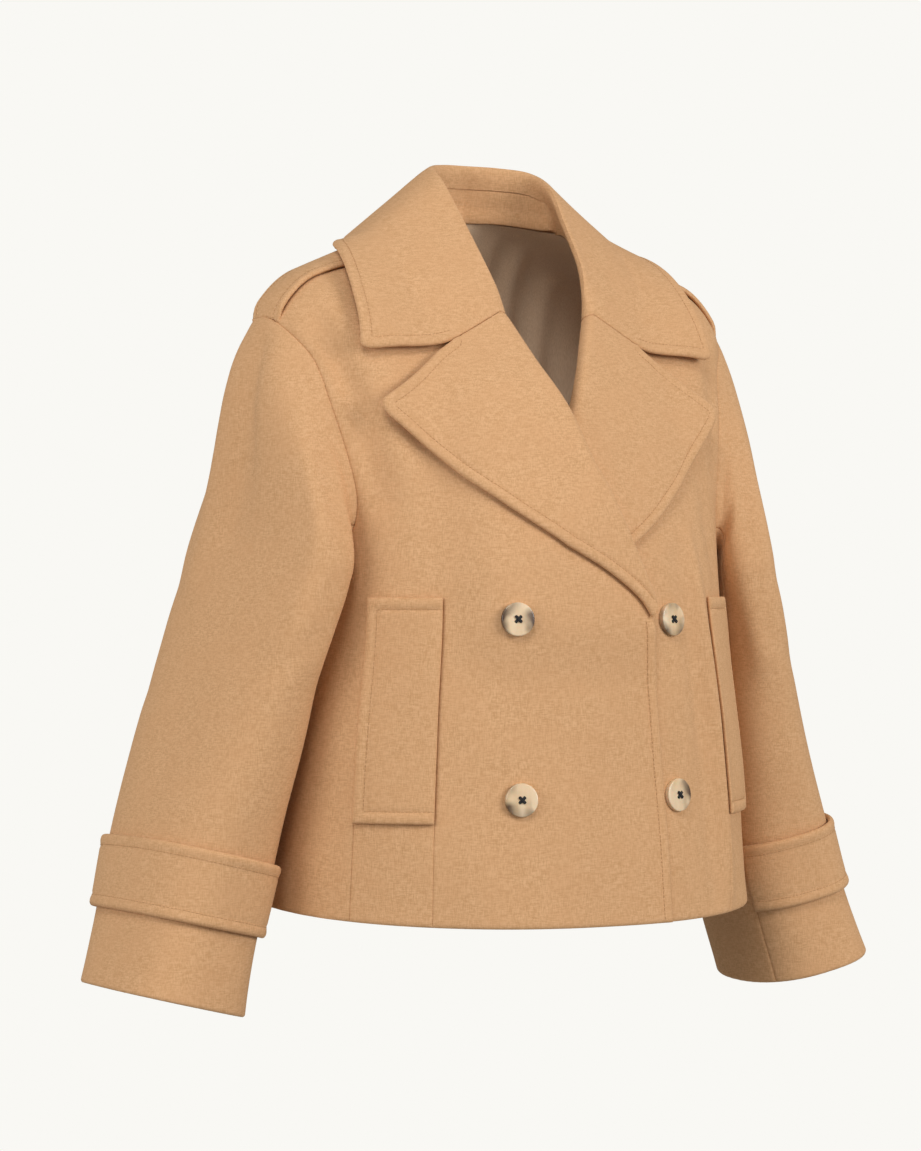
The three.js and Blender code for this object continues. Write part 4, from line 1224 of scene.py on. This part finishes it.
# The disc lies on the XY plane with its face up; the top is inset and sunk for the dish
def modelButton():
    deselectAll()
    thick = button["thick"] * metre
    bpy.ops.mesh.primitive_cylinder_add(vertices=64, radius=button["radius"] * metre, depth=thick,
                                        location=(0, 0, thick / 2))
    disc = bpy.context.object
    for face in disc.data.polygons:
        face.select = face.normal.z > 0.9
    bpy.ops.object.mode_set(mode="EDIT")
    bpy.ops.mesh.select_mode(type="FACE")
    slope = buttonOf["dishSlope"]
    bpy.ops.mesh.inset(thickness=(button["radius"] - buttonOf["dishRadius"] - slope) * metre)
    bpy.ops.mesh.inset(thickness=slope * metre)
    bpy.ops.transform.translate(value=(0, 0, -buttonOf["dishDeep"] * metre))
    bpy.ops.mesh.inset(thickness=buttonOf["dishRing"] * metre)
    bpy.ops.object.mode_set(mode="OBJECT")
    bevel = disc.modifiers.new("rim", "BEVEL")
    bevel.width = buttonOf["rimRound"] * metre
    bevel.segments = 4
    bevel.limit_method = "ANGLE"
    bevel.angle_limit = math.radians(25)
    applyModifier(disc, "rim")
    for k in range(4):
        turn = math.radians(buttonOf["turn"] + 90 * k)
        deselectAll()
        out = buttonOf["holeOut"] * metre
        bpy.ops.mesh.primitive_cylinder_add(vertices=16, radius=buttonOf["holeRadius"] * metre,
                                            depth=thick * 3,
                                            location=(out * math.cos(turn), out * math.sin(turn), 0))
        drill = bpy.context.object
        hole = disc.modifiers.new("hole", "BOOLEAN")
        hole.operation = "DIFFERENCE"
        hole.solver = "EXACT"
        hole.object = drill
        applyModifier(disc, "hole")
        bpy.data.objects.remove(drill)
    paintRim(disc)
    disc.data.materials.append(horn)
    deselectAll()
    disc.select_set(True)
    bpy.context.view_layer.objects.active = disc
    bpy.ops.object.transform_apply(location=True, rotation=False, scale=False)
    bpy.ops.object.shade_smooth_by_angle(angle=math.radians(40))
    return disc


# How near the rim each point is, most at its sides, for the smoky blotches
def paintRim(disc):
    rim = disc.data.attributes.new("rim", "FLOAT", "POINT")
    for i, vertex in enumerate(disc.data.vertices):
        out = math.hypot(vertex.co.x, vertex.co.y) / (button["radius"] * metre)
        beside = abs(vertex.co.x) / max(1e-6, out * button["radius"] * metre)
        near = min(1, max(0, (out - buttonOf["smokeFrom"]) / buttonOf["smokeOver"]))
        rim.data[i].value = near * (buttonOf["smokeLeast"] + (1 - buttonOf["smokeLeast"]) * beside)


# Black thread through the holes: two pairs of round bars, crossed over the face
def modelThread():
    bars = []
    face = (button["thick"] - buttonOf["dishDeep"]) * metre
    for k in range(2):
        turn = buttonOf["turn"] + 90 * k
        for shift in (-threadOf["apart"], threadOf["apart"]):
            deselectAll()
            bpy.ops.mesh.primitive_cylinder_add(vertices=10, radius=threadOf["radius"] * metre,
                                                depth=threadOf["long"] * metre)
            bar = bpy.context.object
            cut = bar.modifiers.new("ends", "BEVEL")
            cut.width = threadOf["endRound"] * metre
            cut.segments = 3
            applyModifier(bar, "ends")
            lie = Matrix.Rotation(math.radians(turn), 4, "Z") @ Matrix.Translation((0, shift * metre, 0))
            lie = lie @ Matrix.Rotation(math.pi / 2, 4, "Y")
            up = Matrix.Translation((0, 0, face + (threadOf["up"] + threadOf["crossedUp"] * k) * metre))
            bar.data.transform(up @ lie)
            bars.append(bar)
    deselectAll()
    for bar in bars:
        bar.select_set(True)
    bpy.context.view_layer.objects.active = bars[0]
    bpy.ops.object.join()
    bars[0].data.materials.append(blackThread)
    bpy.ops.object.shade_smooth_by_angle(angle=math.radians(50))
    return bars[0]


def placeButton(name, node, side, z, disc, knot):
    angle = angleAt(button["out"], z)
    lift = lapLift(side, side * button["out"], z)
    off = melton + lift + button["off"]
    place = bodyPoint(angle, np.float64(z), off, side)
    normal = unit(bodyPoint(angle, np.float64(z), off + 1, side) - place)
    turned = Vector(normal).to_track_quat("Z", "Y").to_matrix().to_4x4()
    put = Matrix.Translation(Vector(place) * metre) @ turned
    for source, pieceName in ((disc, name), (knot, f"{name}Thread")):
        piece = addObject(pieceName, source.data.copy())
        piece.data.name = pieceName
        piece.data.transform(put)
        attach(piece, "root")
        if source is disc:
            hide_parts(node)


disc = modelButton()
knot = modelThread()
for side, word in ((-1, "Right"), (1, "Left")):
    for level, drop in (("Top", 0), ("Bottom", button["step"])):
        placeButton(f"button{level}{word}", f"button_{level.lower()}_{word.lower()}", side,
                    button["topZ"] - drop, disc, knot)
bpy.data.objects.remove(disc)
bpy.data.objects.remove(knot)
print("buttons made")

# Stage: a pale floor under an even pale surround, and large soft lamps
stageOf = {"pale": "F9F8F4", "floorZ": -1.35, "floorWide": 120, "surround": 0.31}
lamps = [
    {"name": "key", "left": 0.4, "near": 2.6, "up": 2.5, "wide": 1.3, "watts": 40},
    {"name": "fill", "left": 2.7, "near": 2.2, "up": 0.7, "wide": 2.0, "watts": 48},
    {"name": "side", "left": -2.6, "near": 1.7, "up": 0.8, "wide": 1.6, "watts": 60},
]


def makeStage():
    deselectAll()
    wide = stageOf["floorWide"]
    bpy.ops.mesh.primitive_plane_add(size=wide, location=(0, 0, stageOf["floorZ"]))
    floor = bpy.context.object
    floor.name = "floor"
    material = bpy.data.materials.new("pale floor")
    material.use_nodes = True
    tree = material.node_tree
    glow = addNode(tree, "ShaderNodeEmission", {"Color": linear(stageOf["pale"]), "Strength": 1})
    tree.links.new(glow.outputs[0], tree.nodes["Material Output"].inputs["Surface"])
    floor.data.materials.append(material)
    floor.visible_diffuse = False
    floor.visible_glossy = False
    world = bpy.data.worlds.new("surround")
    bpy.context.scene.world = world
    world.use_nodes = True
    tree = world.node_tree
    pale = linear(stageOf["pale"])
    seen = addNode(tree, "ShaderNodeBackground", {"Color": pale, "Strength": 1})
    lit = addNode(tree, "ShaderNodeBackground", {"Color": pale, "Strength": stageOf["surround"]})
    path = addNode(tree, "ShaderNodeLightPath").outputs["Is Camera Ray"]
    both = addNode(tree, "ShaderNodeMixShader", None, {0: path, 1: lit.outputs[0], 2: seen.outputs[0]})
    tree.links.new(both.outputs[0], tree.nodes["World Output"].inputs["Surface"])


def makeLamps():
    aim = Vector((0, 0, viewOf["aimHeight"]))
    for lamp in lamps:
        data = bpy.data.lights.new(lamp["name"], "AREA")
        data.shape = "DISK"
        data.size = lamp["wide"]
        data.energy = lamp["watts"]
        piece = addObject(lamp["name"], data)
        piece.location = aim + towardsCamera * lamp["near"] - imageRight * lamp["left"]
        piece.location.z += lamp["up"]
        piece.rotation_euler = (aim - piece.location).to_track_quat("-Z", "Y").to_euler()


makeStage()
makeLamps()
bpy.context.scene.view_settings.view_transform = "Standard"
print("stage set")
